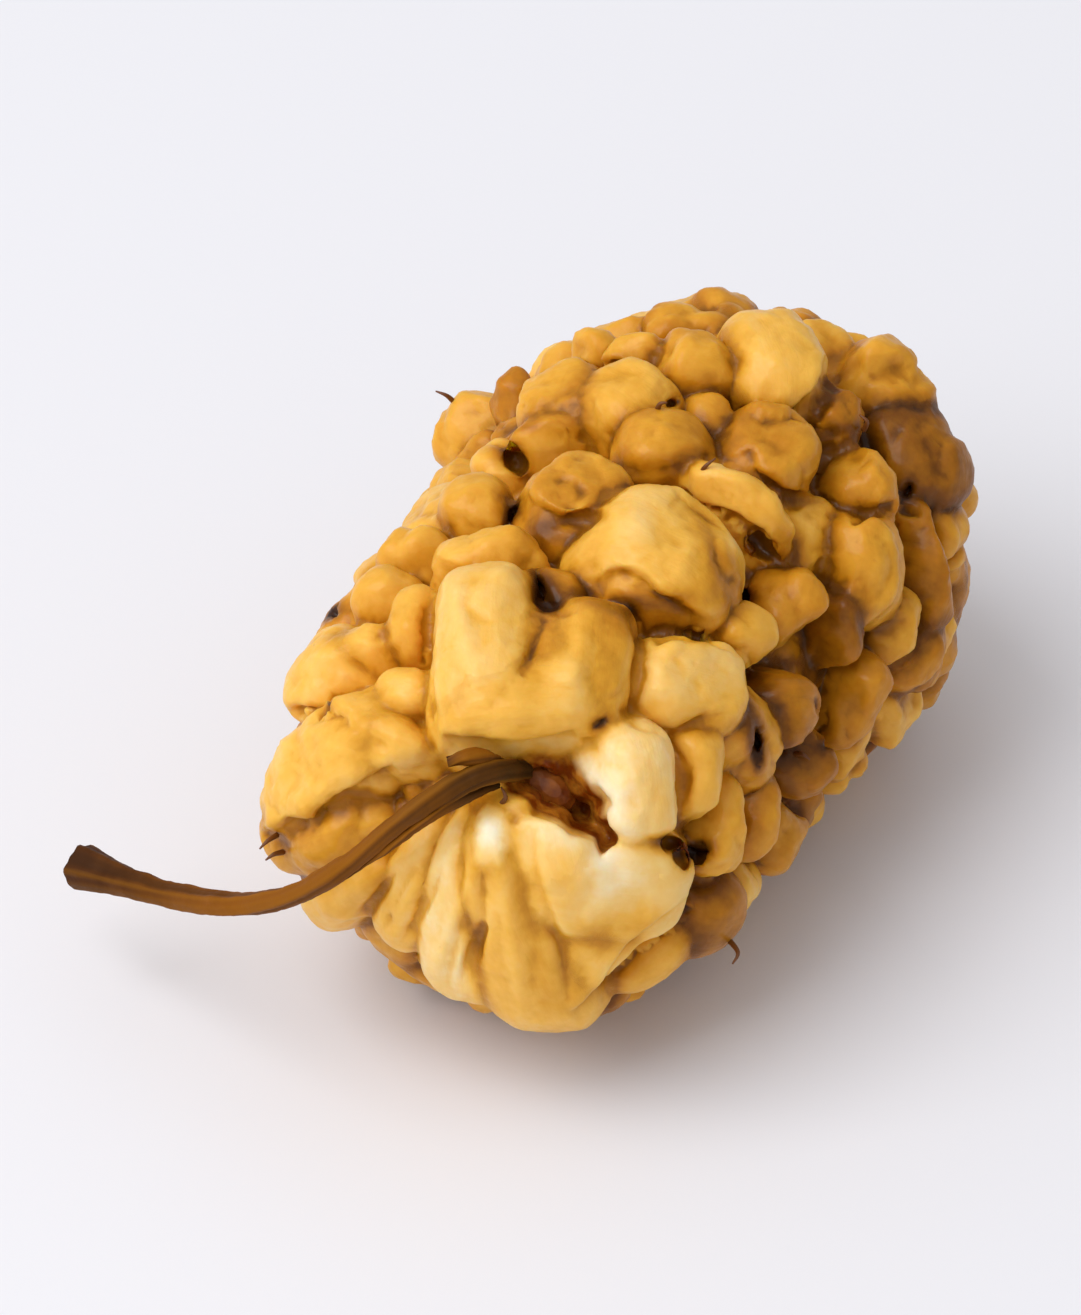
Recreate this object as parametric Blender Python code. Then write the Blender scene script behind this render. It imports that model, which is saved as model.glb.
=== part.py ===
"""A dried white mulberry lying on its side: the fruit, its stalk, and a seed in a torn lobe.

The script's own lengths are millimetres, turned to metres where a mesh is made. Y runs from the stalk end
to the tip, Z is up, and the origin is on the surface that the berry lies on, under its middle.
"""

import math
import random

import bmesh
import bpy
import numpy as np
from mathutils import Matrix, Vector

MM = 0.001

# The fruit's outside, through the crowns of its lobes, is a rounded barrel.
HALF_LENGTH = 7.75
HALF_WIDTH = 5.0
BARREL = 2.9  # 2 is an ellipsoid, more is squarer at the ends
TIP_SWELL = 0.05  # how much wider it is at the tip, and narrower at the stalk end
WAIST = 0.05  # how much narrower it is at the middle
FRUIT_MIDDLE = Vector((0.94, 0.66, 4.20))  # from the origin, which is under the middle of fruit and stalk
CORE_DEPTH = 1.0  # from the crowns down to the solid middle
LOBE_ROOT = 1.15  # from the crowns down to the middles of the lobes
RINGS = 401  # along the barrel, to share out its surface
NEAR = 1e-4  # a step that is small beside the barrel
SETTLING_STEPS = 12  # more than enough to reach the barrel from a lobe away
SIGHT_STEP = 0.05  # along a line of sight
SEED_OF_CHANCE = 7

# The lobes that show were measured in one view, from the front quarter and above, in millimetres right of
# and above the fruit's middle as seen from there.
VIEW_TURN = math.radians(28.5)
VIEW_HEIGHT = math.radians(40)
VIEW_RIGHT = Vector((math.cos(VIEW_TURN), math.sin(VIEW_TURN), 0))
VIEW_TOWARD = Vector(
    (
        math.sin(VIEW_TURN) * math.cos(VIEW_HEIGHT),
        -math.cos(VIEW_TURN) * math.cos(VIEW_HEIGHT),
        math.sin(VIEW_HEIGHT),
    )
)
VIEW_UP = VIEW_TOWARD.cross(VIEW_RIGHT)

# One row a lobe: right, up, length, width, the turn of its wide end, how much it widens, how far it rises.
FAN_LOBES = (
    (-1.83, -5.00, 3.8, 1.60, -83, 0.40, 1.50),
    (-2.98, -4.65, 3.2, 1.15, -106, 0.40, 1.45),
    (-3.80, -4.10, 2.7, 0.90, -119, 0.30, 1.38),
    (-4.90, -4.15, 2.6, 1.00, -142, 0.30, 1.38),
    (-0.20, -4.05, 2.6, 1.80, -15, 0.10, 1.52),
    (-0.55, -5.10, 2.3, 1.30, -105, -0.20, 1.42),
    (1.60, -4.75, 1.5, 1.35, -30, 0, 1.40),
    (0.60, -5.40, 1.7, 0.90, 30, 0, 1.30),
    (-0.40, -6.20, 1.3, 0.70, 25, 0, 1.20),
    (-4.50, -5.35, 1.5, 1.00, -120, 0, 0.75),
    (-3.50, -6.20, 1.5, 1.00, -110, 0, 0.75),
)
MOLAR_LOBES = (
    (-2.50, 0.20, 2.8, 1.40, 94, 0, 1.80),
    (-0.50, 0.00, 2.0, 1.20, 78, 0, 1.66),
    (-1.85, -0.80, 2.4, 1.15, 3, 0, 1.78),
    (-1.50, 0.05, 1.3, 0.70, 88, -0.2, 1.42),
)
CROWN_LOBES = (
    (1.25, -0.40, 2.0, 1.40, 0, 0.05, 1.50),
    (0.20, -2.15, 1.8, 1.35, -80, 0.05, 1.68),
    (1.40, -2.00, 1.5, 0.80, 80, 0, 1.30),
    (-5.30, -1.95, 3.0, 1.50, 22, 0.05, 1.75),
    (-5.50, -3.05, 2.6, 1.40, 22, 0, 1.55),
    (-4.10, -1.50, 1.3, 0.80, -20, 0, 1.50),
    (-5.30, -0.20, 1.6, 1.30, 30, 0, 1.50),
    (-3.85, -0.55, 1.0, 0.80, 0, 0, 1.35),
    (-4.60, 0.35, 1.0, 0.75, -20, 0, 1.40),
    (-4.40, 1.25, 1.0, 0.85, 20, 0, 1.30),
    (-3.80, 0.80, 1.2, 0.75, 100, 0, 1.30),
    (-1.30, 1.35, 1.2, 0.90, 0, 0, 0.95),
)
SMOOTH_LOBES = (
    (0.75, 1.85, 2.4, 2.20, -30, 0, 1.72),
    (0.75, 3.90, 1.50, 1.15, 10, 0, 1.40),
    (2.80, 5.50, 1.9, 1.50, 90, 0, 1.50),
    (-1.15, 4.72, 1.5, 1.40, 15, 0, 1.40),
    (0.00, 4.72, 1.5, 1.40, -50, 0, 1.40),
    (-2.70, 2.95, 1.1, 1.05, 0, 0, 1.35),
    (2.75, 3.80, 1.5, 1.45, 60, 0, 1.40),
    (2.25, 0.50, 1.1, 0.85, 10, 0, 1.32),
)
RINGED_LOBES = (
    (-0.98, 3.00, 1.9, 1.75, 30, 0, 1.50),
    (3.30, -0.95, 1.5, 1.45, 0, 0, 1.20),
    (5.10, 5.05, 1.7, 1.30, -25, 0, 1.50),
    (4.70, 1.65, 1.9, 1.45, 95, 0, 1.45),
    (5.75, 3.90, 1.9, 1.55, -75, 0, 1.42),
)
TOP_LOBES = (
    (-2.50, 1.95, 1.7, 0.90, -5, 0, 1.30),
    (-3.85, 2.10, 1.2, 0.95, 60, 0, 1.30),
    (-3.05, 4.75, 1.6, 1.10, 80, 0, 1.60),
    (-2.25, 4.80, 1.0, 0.85, 90, 0, 1.25),
    (-1.60, 4.10, 1.3, 0.60, 0, 0, 1.25),
    (1.50, 1.10, 1.1, 0.85, 0, 0, 1.60),
    (2.30, 2.75, 2.0, 0.85, -35, 0, 1.50),
    (1.30, 5.50, 1.3, 1.20, 0, 0, 1.35),
    (0.30, 5.75, 1.1, 0.75, 0, 0, 1.30),
    (-0.60, 5.80, 1.0, 0.80, 0, 0, 1.30),
    (4.10, 4.75, 1.2, 1.00, 60, 0, 1.20),
    (4.40, 3.25, 1.5, 1.00, 88, 0, 1.40),
    (-1.70, 5.75, 1.3, 0.95, 10, 0, 0.95),
    (-0.20, 6.40, 1.4, 0.90, 0, 0, 0.85),
    (1.10, 6.60, 1.4, 0.90, 0, 0, 0.85),
)
FLANK_LOBES = (
    (5.80, 1.60, 2.2, 0.85, 97, 0, 1.30),
    (3.30, 0.95, 1.4, 1.10, 60, 0, 1.30),
    (4.15, 0.60, 1.3, 0.60, 110, 0, 1.10),
    (4.55, -1.00, 1.6, 0.95, 75, 0, 1.30),
    (5.55, -0.15, 1.4, 1.20, 35, 0, 1.25),
    (3.70, -1.90, 1.1, 0.90, 40, 0, 1.15),
    (4.60, -2.30, 1.5, 0.95, 50, 0, 0.85),
    (3.60, -3.05, 1.4, 0.95, 40, 0, 0.85),
    (2.00, -3.00, 1.6, 1.00, 75, 0, 1.35),
    (2.75, -2.90, 1.4, 0.80, 80, 0, 1.20),
)

# The rest of the drupelets follow a spiral, each with two large lobes and two small ones round its pit.
DRUPELETS = 33
GOLDEN_TURN = math.radians(137.508)
LARGE_LOBE = ((2.4, 1.9), 1.02, 0.98)  # length and width, rise, how far its middle is from the pit
SMALL_LOBE = ((1.7, 1.45), 0.95, 0.80)
FILLER_LOBE = ((1.6, 1.5), 0.85)  # stands wherever the others left room
FILLER_TRIES = 900
SIZE_CHANCE = 0.16
RISE_CHANCE = 0.24
TURN_CHANCE = 0.2
CLOSEST = 0.70  # of two lobes' mean size: nearer than this to a lobe that stands, a new one is left out
FULLNESS = 2.6  # of a lobe's outline: 2 is an ellipse, more is squarer
FINE_SIZE = 2.0  # a lobe that shows gets more faces from this size
MEASURE_TO_ROOT = 1.3  # a lobe at its root, to what shows of it between its neighbours

# The stalk, in the same view: right, up, towards the eye, and thickness.
STEM_ROUTE = (
    (-1.70, -1.95, 6.2, 0.34),
    (-2.15, -1.95, 7.1, 0.38),
    (-2.70, -2.10, 7.45, 0.40),
    (-3.3, -2.45, 7.45, 0.40),
    (-4.0, -2.95, 7.1, 0.36),
    (-4.8, -3.60, 6.4, 0.36),
    (-5.7, -4.10, 5.5, 0.42),
    (-6.7, -4.32, 4.4, 0.46),
    (-7.7, -4.22, 3.3, 0.46),
    (-8.7, -3.98, 2.3, 0.50),
    (-9.6, -3.7, 1.4, 0.78),
)
STEM_STEPS = 4  # between two points of the route
PIECE_GAP = 0.10  # between two pieces that touch

TORN_HOLE = (-1.15, -2.3)  # beside the stalk, in the same view
TORN_SIZE = (2.3, 1.35, 3.4)  # of the egg that it is cut with, whose middle is at the crowns
TORN_HEADING = VIEW_RIGHT * 0.8 - VIEW_UP * 0.6
FLOOR_CUTTER = 60
SEED_SIZE = (1.15, 0.70, 0.60)
SEED_SUNK = 1.25  # its middle, below the crowns


def clear_scene():
    for thing in list(bpy.data.objects):
        bpy.data.objects.remove(thing, do_unlink=True)


def new_collection(name):
    made = bpy.data.collections.new(name)
    bpy.context.scene.collection.children.link(made)
    return made


def linear(value):
    return value / 12.92 if value <= 0.04045 else ((value + 0.055) / 1.055) ** 2.4


def new_material(name, colour, roughness):
    made = bpy.data.materials.new(name)
    made.use_nodes = True
    shader = made.node_tree.nodes["Principled BSDF"]
    parts = [int(colour[i : i + 2], 16) / 255 for i in (0, 2, 4)]
    shader.inputs["Base Color"].default_value = [linear(part) for part in parts] + [1]
    shader.inputs["Roughness"].default_value = roughness
    shader.inputs["Metallic"].default_value = 0
    return made


def new_object(name, shape, collection):
    """An object of a bmesh that is in millimetres round the fruit's middle."""
    bmesh.ops.transform(shape, matrix=Matrix.Translation(FRUIT_MIDDLE), verts=shape.verts)
    bmesh.ops.scale(shape, vec=(MM, MM, MM), verts=shape.verts)
    mesh = bpy.data.meshes.new(name)
    shape.to_mesh(mesh)
    shape.free()
    made = bpy.data.objects.new(name, mesh)
    collection.objects.link(made)
    return made


def half_width(y):
    """The barrel's half width, but for the rounding of its ends."""
    share = y / HALF_LENGTH
    swell = TIP_SWELL * math.sin(share * math.pi / 2)
    waist = WAIST * math.exp(-((3 * share) ** 2))
    return HALF_WIDTH * (1 + swell - waist)


def outside(point):
    """Below 0 inside the barrel through the lobes' crowns, and above 0 outside it."""
    off_axis = math.hypot(point.x, point.z)
    return (abs(point.y) / HALF_LENGTH) ** BARREL + (off_axis / half_width(point.y)) ** BARREL - 1


def steepest(point):
    """The direction in which outside() grows, and how fast it grows there."""
    here = outside(point)
    steps = [Vector((NEAR, 0, 0)), Vector((0, NEAR, 0)), Vector((0, 0, NEAR))]
    slope = Vector([(outside(point + step) - here) / NEAR for step in steps])
    return slope.normalized(), slope.length


def settled(point):
    """The point moved onto the barrel."""
    for _ in range(SETTLING_STEPS):
        direction, rate = steepest(point)
        point = point - direction * (outside(point) / rate)
    return point


def in_view(right, up, toward):
    return VIEW_RIGHT * right + VIEW_UP * up + VIEW_TOWARD * toward


def seen_at(right, up):
    """Where the line of sight at this place in the view meets the barrel, or passes closest to it."""
    reach = HALF_LENGTH + HALF_WIDTH
    line = [in_view(right, up, depth) for depth in np.arange(reach, -reach, -SIGHT_STEP)]
    for point in line:
        if outside(point) <= 0:
            return settled(point)
    return settled(min(line, key=outside))


def standing_on(place, heading, sunk, sizes):
    """The matrix that sizes a unit ball, turns it to stand out from the barrel and sinks it by a depth."""
    out, _ = steepest(place)
    along = (heading - out * heading.dot(out)).normalized()
    turned = Matrix((along, out.cross(along), out)).transposed().to_4x4()
    sized = Matrix.Diagonal((*[size / 2 for size in sizes], 1))
    return Matrix.Translation(place - out * sunk) @ turned @ sized


def lobe_at(place, heading, length, width, widening, rise):
    """A lobe: where it stands, its mean size, and the shape that a unit ball takes."""
    return {
        "place": place,
        "size": (length + width) / 2,
        "widening": widening,
        "matrix": standing_on(place, heading, LOBE_ROOT, (length, width, rise * 2)),
    }


def lobes_that_show():
    rows = FAN_LOBES + MOLAR_LOBES + CROWN_LOBES + SMOOTH_LOBES + RINGED_LOBES + TOP_LOBES + FLANK_LOBES
    lobes = []
    for right, up, length, width, turn, widening, rise in rows:
        angle = math.radians(turn)
        heading = VIEW_RIGHT * math.cos(angle) + VIEW_UP * math.sin(angle)
        length *= MEASURE_TO_ROOT
        width *= MEASURE_TO_ROOT
        lobes.append(lobe_at(seen_at(right, up), heading, length, width, widening, rise))
    return lobes


def ring_radius(y):
    return half_width(y) * max(1 - (abs(y) / HALF_LENGTH) ** BARREL, 0) ** (1 / BARREL)


def spiral_places(number):
    """Places on the barrel that are equally far apart, along a golden-angle spiral."""
    along = np.linspace(-HALF_LENGTH, HALF_LENGTH, RINGS)
    radii = np.array([ring_radius(y) for y in along])
    slant = np.hypot(np.diff(along), np.diff(radii))
    area = np.concatenate([[0], np.cumsum(slant * (radii[1:] + radii[:-1]))])
    shares = (np.arange(number) + 0.5) / number * area[-1]
    places = []
    for count, y in enumerate(np.interp(shares, area, along)):
        turn = count * GOLDEN_TURN
        radius = ring_radius(y)
        places.append(settled(Vector((radius * math.cos(turn), y, radius * math.sin(turn)))))
    return places


def has_room(lobe, others):
    return all(
        (other["place"] - lobe["place"]).length > CLOSEST * (other["size"] + lobe["size"]) / 2
        for other in others
    )


def grown_lobe(place, heading, size, rise, chance):
    """A lobe of about this length and width, as chance has it."""
    share = chance.uniform(1 - SIZE_CHANCE, 1 + SIZE_CHANCE)
    height = rise * chance.uniform(1 - RISE_CHANCE, 1 + RISE_CHANCE)
    return lobe_at(place, heading, size[0] * share, size[1] * share, 0, height)


def drupelet_lobes(pit, chance):
    """Two large lobes and two small ones, in turn round the pit."""
    out, _ = steepest(pit)
    sideways = out.cross(Vector((0.1, 1, 0.2))).normalized()
    start = chance.uniform(0, math.pi)
    lobes = []
    for quarter in range(4):
        size, rise, reach = SMALL_LOBE if quarter % 2 else LARGE_LOBE
        turn = start + quarter * math.pi / 2 + chance.uniform(-TURN_CHANCE, TURN_CHANCE)
        away = Matrix.Rotation(turn, 3, out) @ sideways
        lobes.append(grown_lobe(settled(pit + away * reach), out.cross(away), size, rise, chance))
    return lobes


def filler_lobe(place, chance):
    heading = Vector([chance.uniform(-1, 1) for _ in range(3)])
    size, rise = FILLER_LOBE
    return grown_lobe(place, heading, size, rise, chance)


def lobes_by_rule(standing):
    """The lobes that stand, and after them those that find room."""
    chance = random.Random(SEED_OF_CHANCE)
    lobes = list(standing)
    for pit in spiral_places(DRUPELETS):
        lobes += [lobe for lobe in drupelet_lobes(pit, chance) if has_room(lobe, lobes)]
    for place in spiral_places(FILLER_TRIES):
        lobe = filler_lobe(place, chance)
        if has_room(lobe, lobes):
            lobes.append(lobe)
    return lobes


def lobe_shape(lobe, sides, rings):
    shape = bmesh.new()
    bmesh.ops.create_uvsphere(shape, u_segments=sides, v_segments=rings, radius=1)
    for vertex in shape.verts:
        x, y, _ = vertex.co
        flat = math.hypot(x, y)
        full = flat / max((abs(x) ** FULLNESS + abs(y) ** FULLNESS) ** (1 / FULLNESS), 1e-6)
        vertex.co.x *= full
        vertex.co.y *= full * (1 + lobe["widening"] * vertex.co.x)
        vertex.co = lobe["matrix"] @ vertex.co
    return shape


def core_shape():
    """The solid middle: the barrel, drawn in."""
    shape = bmesh.new()
    bmesh.ops.create_uvsphere(shape, u_segments=20, v_segments=14, radius=HALF_WIDTH)
    for vertex in shape.verts:
        place = settled(Vector((vertex.co.x, vertex.co.z, -vertex.co.y)))
        vertex.co = place - steepest(place)[0] * CORE_DEPTH
    return shape


def boolean(target, others, operation):
    """Joins a collection's closed meshes to the target, or cuts them from it, and applies that."""
    modifier = target.modifiers.new(operation.title(), "BOOLEAN")
    modifier.operation = operation
    modifier.operand_type = "COLLECTION"
    modifier.collection = others
    modifier.solver = "EXACT"
    graph = bpy.context.evaluated_depsgraph_get()
    mesh = bpy.data.meshes.new_from_object(target.evaluated_get(graph))
    target.modifiers.clear()
    target.data = mesh


def remove_all(collection):
    for thing in list(collection.objects):
        bpy.data.objects.remove(thing, do_unlink=True)
    bpy.data.collections.remove(collection)


def keep_largest_body(thing):
    """Drops loose scraps, and fills hollows that the joined lobes closed over."""
    shape = bmesh.new()
    shape.from_mesh(thing.data)
    waiting = set(shape.verts)
    bodies = []
    while waiting:
        body = set()
        edge = [waiting.pop()]
        while edge:
            vertex = edge.pop()
            body.add(vertex)
            for link in vertex.link_edges:
                other = link.other_vert(vertex)
                if other in waiting:
                    waiting.remove(other)
                    edge.append(other)
        bodies.append(body)
    bodies.sort(key=len)
    for body in bodies[:-1]:
        bmesh.ops.delete(shape, geom=list(body), context="VERTS")
    shape.to_mesh(thing.data)
    shape.free()


def smooth_route():
    """Places and thicknesses along a smooth curve through the stalk's own points."""
    rows = np.array([STEM_ROUTE[0], *STEM_ROUTE, STEM_ROUTE[-1]])
    route = []
    for before, start, end, after in zip(rows, rows[1:], rows[2:], rows[3:]):
        for t in np.arange(STEM_STEPS) / STEM_STEPS:
            bend = 2 * before - 5 * start + 4 * end - after
            sway = 3 * start - before - 3 * end + after
            route.append(start + 0.5 * ((end - before) * t + bend * t**2 + sway * t**3))
    return [*route, rows[-1]]


def stem_tube(name, collection, extra):
    """The stalk as a mesh, fatter by extra all round."""
    curve = bpy.data.curves.new(name, "CURVE")
    curve.dimensions = "3D"
    curve.bevel_depth = MM
    curve.bevel_resolution = 2
    curve.use_fill_caps = True
    route = smooth_route()
    spline = curve.splines.new("POLY")
    spline.points.add(len(route) - 1)
    for point, (right, up, toward, thickness) in zip(spline.points, route):
        point.co = (*((in_view(right, up, toward) + FRUIT_MIDDLE) * MM), 1)
        point.radius = thickness / 2 + extra
    drawn = bpy.data.objects.new(name, curve)
    collection.objects.link(drawn)
    graph = bpy.context.evaluated_depsgraph_get()
    mesh = bpy.data.meshes.new_from_object(drawn.evaluated_get(graph))
    bpy.data.objects.remove(drawn, do_unlink=True)
    shape = bmesh.new()
    shape.from_mesh(mesh)
    bmesh.ops.remove_doubles(shape, verts=shape.verts, dist=1e-6)
    bmesh.ops.recalc_face_normals(shape, faces=shape.faces)
    shape.to_mesh(mesh)
    shape.free()
    made = bpy.data.objects.new(name, mesh)
    collection.objects.link(made)
    return made


def ball(name, collection, matrix, sides, rings):
    shape = bmesh.new()
    bmesh.ops.create_uvsphere(shape, u_segments=sides, v_segments=rings, radius=1)
    bmesh.ops.transform(shape, matrix=matrix, verts=shape.verts)
    return new_object(name, shape, collection)


def fruit(berry):
    shown = lobes_that_show()
    lobes = lobes_by_rule(shown)
    joined = new_collection("lobes")
    for i, lobe in enumerate(lobes):
        fine = i < len(shown) and lobe["size"] > FINE_SIZE
        sides, rings = (8, 6) if fine else (7, 5)
        new_object(f"lobe_{i}", lobe_shape(lobe, sides, rings), joined)
    made = new_object("fruit", core_shape(), berry)
    boolean(made, joined, "UNION")
    remove_all(joined)
    keep_largest_body(made)
    return made


def cut_fruit(made, cutters):
    """Takes out the flat underside, the stalk's socket and the torn hole."""
    floor = bmesh.new()
    bmesh.ops.create_cube(floor, size=FLOOR_CUTTER)
    below = Vector((0, 0, -FLOOR_CUTTER / 2)) - FRUIT_MIDDLE
    bmesh.ops.translate(floor, vec=below, verts=floor.verts)
    new_object("floor_cutter", floor, cutters)
    stem_tube("stem_cutter", cutters, PIECE_GAP)
    hole = standing_on(seen_at(*TORN_HOLE), TORN_HEADING, 0, TORN_SIZE)
    ball("hole_cutter", cutters, hole, 10, 8)
    boolean(made, cutters, "DIFFERENCE")
    keep_largest_body(made)
    for cutter in cutters.objects:
        cutter.hide_render = True
        cutter.display_type = "WIRE"


def seed(berry):
    place = standing_on(seen_at(*TORN_HOLE), TORN_HEADING, SEED_SUNK, SEED_SIZE)
    return ball("seed", berry, place, 14, 8)


def finish(thing, material):
    thing.data.materials.clear()
    thing.data.materials.append(material)
    thing.data.shade_smooth()
    thing.data.set_sharp_from_angle(angle=math.radians(35))


def main():
    clear_scene()
    berry = new_collection("dried_mulberry")
    cutters = new_collection("cutters")
    body = fruit(berry)
    cut_fruit(body, cutters)
    finish(body, new_material("dried_flesh", "D9A046", 0.45))
    finish(stem_tube("stem", berry, 0), new_material("dried_stalk", "7A4E12", 0.6))
    finish(seed(berry), new_material("seed_coat", "7C3A12", 0.3))


main()
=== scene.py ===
import math
import random

import bpy
import numpy as np
from mathutils import Matrix, Quaternion, Vector


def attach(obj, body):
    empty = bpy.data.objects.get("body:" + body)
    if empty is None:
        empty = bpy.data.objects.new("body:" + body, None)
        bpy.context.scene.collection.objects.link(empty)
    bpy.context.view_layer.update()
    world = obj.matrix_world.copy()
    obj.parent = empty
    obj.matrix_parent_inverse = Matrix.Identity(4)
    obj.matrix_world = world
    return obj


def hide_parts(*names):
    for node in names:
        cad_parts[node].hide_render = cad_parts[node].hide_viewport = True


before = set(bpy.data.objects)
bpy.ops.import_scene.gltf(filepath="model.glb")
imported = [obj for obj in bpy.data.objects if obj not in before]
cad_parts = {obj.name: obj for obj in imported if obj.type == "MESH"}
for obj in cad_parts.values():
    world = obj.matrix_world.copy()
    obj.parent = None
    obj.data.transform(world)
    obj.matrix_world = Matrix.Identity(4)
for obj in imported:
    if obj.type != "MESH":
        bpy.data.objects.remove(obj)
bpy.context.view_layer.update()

# The fruit: about forty small drupelets that grew together round one axis, each in four fleshy lobes that
# dried, sank in and folded. It is one body of sugary flesh. Its lobes are those of the solid fruit, worked
# out by the same rule and melted together, and the folds, lips and pits that drying made are pressed in.
MM = 0.001  # the fruit and its stalk are worked out in millimetres, and the frame is in metres
HALF_LENGTH = 7.75
HALF_WIDTH = 5.0
BARREL = 2.9  # of the outline through the lobes' crowns: 2 is an ellipsoid, more is squarer at the ends
TIP_SWELL = 0.05
WAIST = 0.05
WAIST_FADE = 3  # how fast the waist is lost towards the ends
FRUIT_MIDDLE = Vector((0.94, 0.66, 4.20))
CORE_DEPTH = 1.0
LOBE_ROOT = 1.15
SPIRAL_RINGS = 401
NEAR = 1e-4
SETTLING_STEPS = 12
SIGHT_STEP = 0.05
SEED_OF_CHANCE = 7

# The lobes were measured in the view that the camera below has, in millimetres from the fruit's middle.
VIEW_TURN = math.radians(28.5)
VIEW_HEIGHT = math.radians(40)
VIEW_RIGHT = Vector((math.cos(VIEW_TURN), math.sin(VIEW_TURN), 0))
VIEW_TOWARD = Vector(
    (
        math.sin(VIEW_TURN) * math.cos(VIEW_HEIGHT),
        -math.cos(VIEW_TURN) * math.cos(VIEW_HEIGHT),
        math.sin(VIEW_HEIGHT),
    )
)
VIEW_UP = VIEW_TOWARD.cross(VIEW_RIGHT)
VIEW_AXES = np.array([VIEW_RIGHT, VIEW_UP, VIEW_TOWARD])

# A lobe's row: right, up, length, width, turn of its wide end, widening, rise, and how dark it is, from cream
# 0 to brown 1: how dark it dried, and on the right flank also painted shade. The fan spreads from beside the
# stalk, and the molar is four lobes like a tooth.
FAN_LOBES = (
    (-1.83, -5.00, 3.8, 1.60, -83, 0.40, 1.50, 0.34),
    (-2.98, -4.65, 3.2, 1.15, -106, 0.40, 1.45, 0.06),
    (-3.80, -4.10, 2.7, 0.90, -119, 0.30, 1.38, 0.30),
    (-4.90, -4.15, 2.6, 1.00, -142, 0.30, 1.38, 0.36),
    (-0.20, -4.05, 2.6, 1.80, -15, 0.10, 1.52, 0.02),
    (-0.55, -5.10, 2.3, 1.30, -105, -0.20, 1.42, 0.22),
    (1.60, -4.75, 1.5, 1.35, -30, 0, 1.40, 0.85),
    (0.60, -5.40, 1.7, 0.90, 30, 0, 1.30, 0.45),
    (-0.40, -6.20, 1.3, 0.70, 25, 0, 1.20, 0.80),
    (-4.50, -5.35, 1.5, 1.00, -120, 0, 0.75, 0.60),
    (-3.50, -6.20, 1.5, 1.00, -110, 0, 0.75, 0.60),
)
MOLAR_LOBES = (
    (-2.50, 0.20, 2.8, 1.40, 94, 0, 1.80, 0.22),
    (-0.50, 0.00, 2.0, 1.20, 78, 0, 1.66, 0.42),
    (-1.85, -0.80, 2.4, 1.15, 3, 0, 1.78, 0.30),
    (-1.50, 0.05, 1.3, 0.70, 88, -0.2, 1.42, 0.50),
)
CROWN_LOBES = (
    (1.25, -0.40, 2.0, 1.40, 0, 0.05, 1.50, 0.22),
    (0.20, -2.15, 1.8, 1.35, -80, 0.05, 1.68, 0.04),
    (1.40, -2.00, 1.5, 0.80, 80, 0, 1.30, 0.38),
    (-5.30, -1.95, 3.0, 1.50, 22, 0.05, 1.75, 0.32),
    (-5.50, -3.05, 2.6, 1.40, 22, 0, 1.55, 0.42),
    (-4.10, -1.50, 1.3, 0.80, -20, 0, 1.50, 0.24),
    (-5.30, -0.20, 1.6, 1.30, 30, 0, 1.50, 0.30),
    (-3.85, -0.55, 1.0, 0.80, 0, 0, 1.35, 0.26),
    (-4.60, 0.35, 1.0, 0.75, -20, 0, 1.40, 0.30),
    (-4.40, 1.25, 1.0, 0.85, 20, 0, 1.30, 0.45),
    (-3.80, 0.80, 1.2, 0.75, 100, 0, 1.30, 0.42),
    (-1.30, 1.35, 1.2, 0.90, 0, 0, 0.95, 0.60),
)
SMOOTH_LOBES = (
    (0.75, 1.85, 2.4, 2.20, -30, 0, 1.72, 0.36),
    (0.75, 3.90, 1.50, 1.15, 10, 0, 1.40, 0.66),
    (2.80, 5.50, 1.9, 1.50, 90, 0, 1.50, 0.34),
    (-1.15, 4.72, 1.5, 1.40, 15, 0, 1.40, 0.52),
    (0.00, 4.72, 1.5, 1.40, -50, 0, 1.40, 0.46),
    (-2.70, 2.95, 1.1, 1.05, 0, 0, 1.35, 0.50),
    (2.75, 3.80, 1.5, 1.45, 60, 0, 1.40, 0.69),
    (2.25, 0.50, 1.1, 0.85, 10, 0, 1.32, 0.45),
)
RINGED_LOBES = (
    (-0.98, 3.00, 1.9, 1.75, 30, 0, 1.50, 0.60),
    (3.30, -0.95, 1.5, 1.45, 0, 0, 1.20, 0.86),
    (5.10, 5.05, 1.7, 1.30, -25, 0, 1.50, 0.58),
    (4.70, 1.65, 1.9, 1.45, 95, 0, 1.45, 0.60),
    (5.75, 3.90, 1.9, 1.55, -75, 0, 1.42, 0.96),
)
TOP_LOBES = (
    (-2.50, 1.95, 1.7, 0.90, -5, 0, 1.30, 0.45),
    (-3.85, 2.10, 1.2, 0.95, 60, 0, 1.30, 0.50),
    (-3.05, 4.75, 1.6, 1.10, 80, 0, 1.60, 0.50),
    (-2.25, 4.80, 1.0, 0.85, 90, 0, 1.25, 0.80),
    (-1.60, 4.10, 1.3, 0.60, 0, 0, 1.25, 0.50),
    (1.50, 1.10, 1.1, 0.85, 0, 0, 1.60, 0.50),
    (2.30, 2.75, 2.0, 0.85, -35, 0, 1.50, 0.40),
    (1.30, 5.50, 1.3, 1.20, 0, 0, 1.35, 0.55),
    (0.30, 5.75, 1.1, 0.75, 0, 0, 1.30, 0.50),
    (-0.60, 5.80, 1.0, 0.80, 0, 0, 1.30, 0.50),
    (4.10, 4.75, 1.2, 1.00, 60, 0, 1.20, 0.85),
    (4.40, 3.25, 1.5, 1.00, 88, 0, 1.40, 0.66),
    (-1.70, 5.75, 1.3, 0.95, 10, 0, 0.95, 0.55),
    (-0.20, 6.40, 1.4, 0.90, 0, 0, 0.85, 0.55),
    (1.10, 6.60, 1.4, 0.90, 0, 0, 0.85, 0.55),
)
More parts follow.
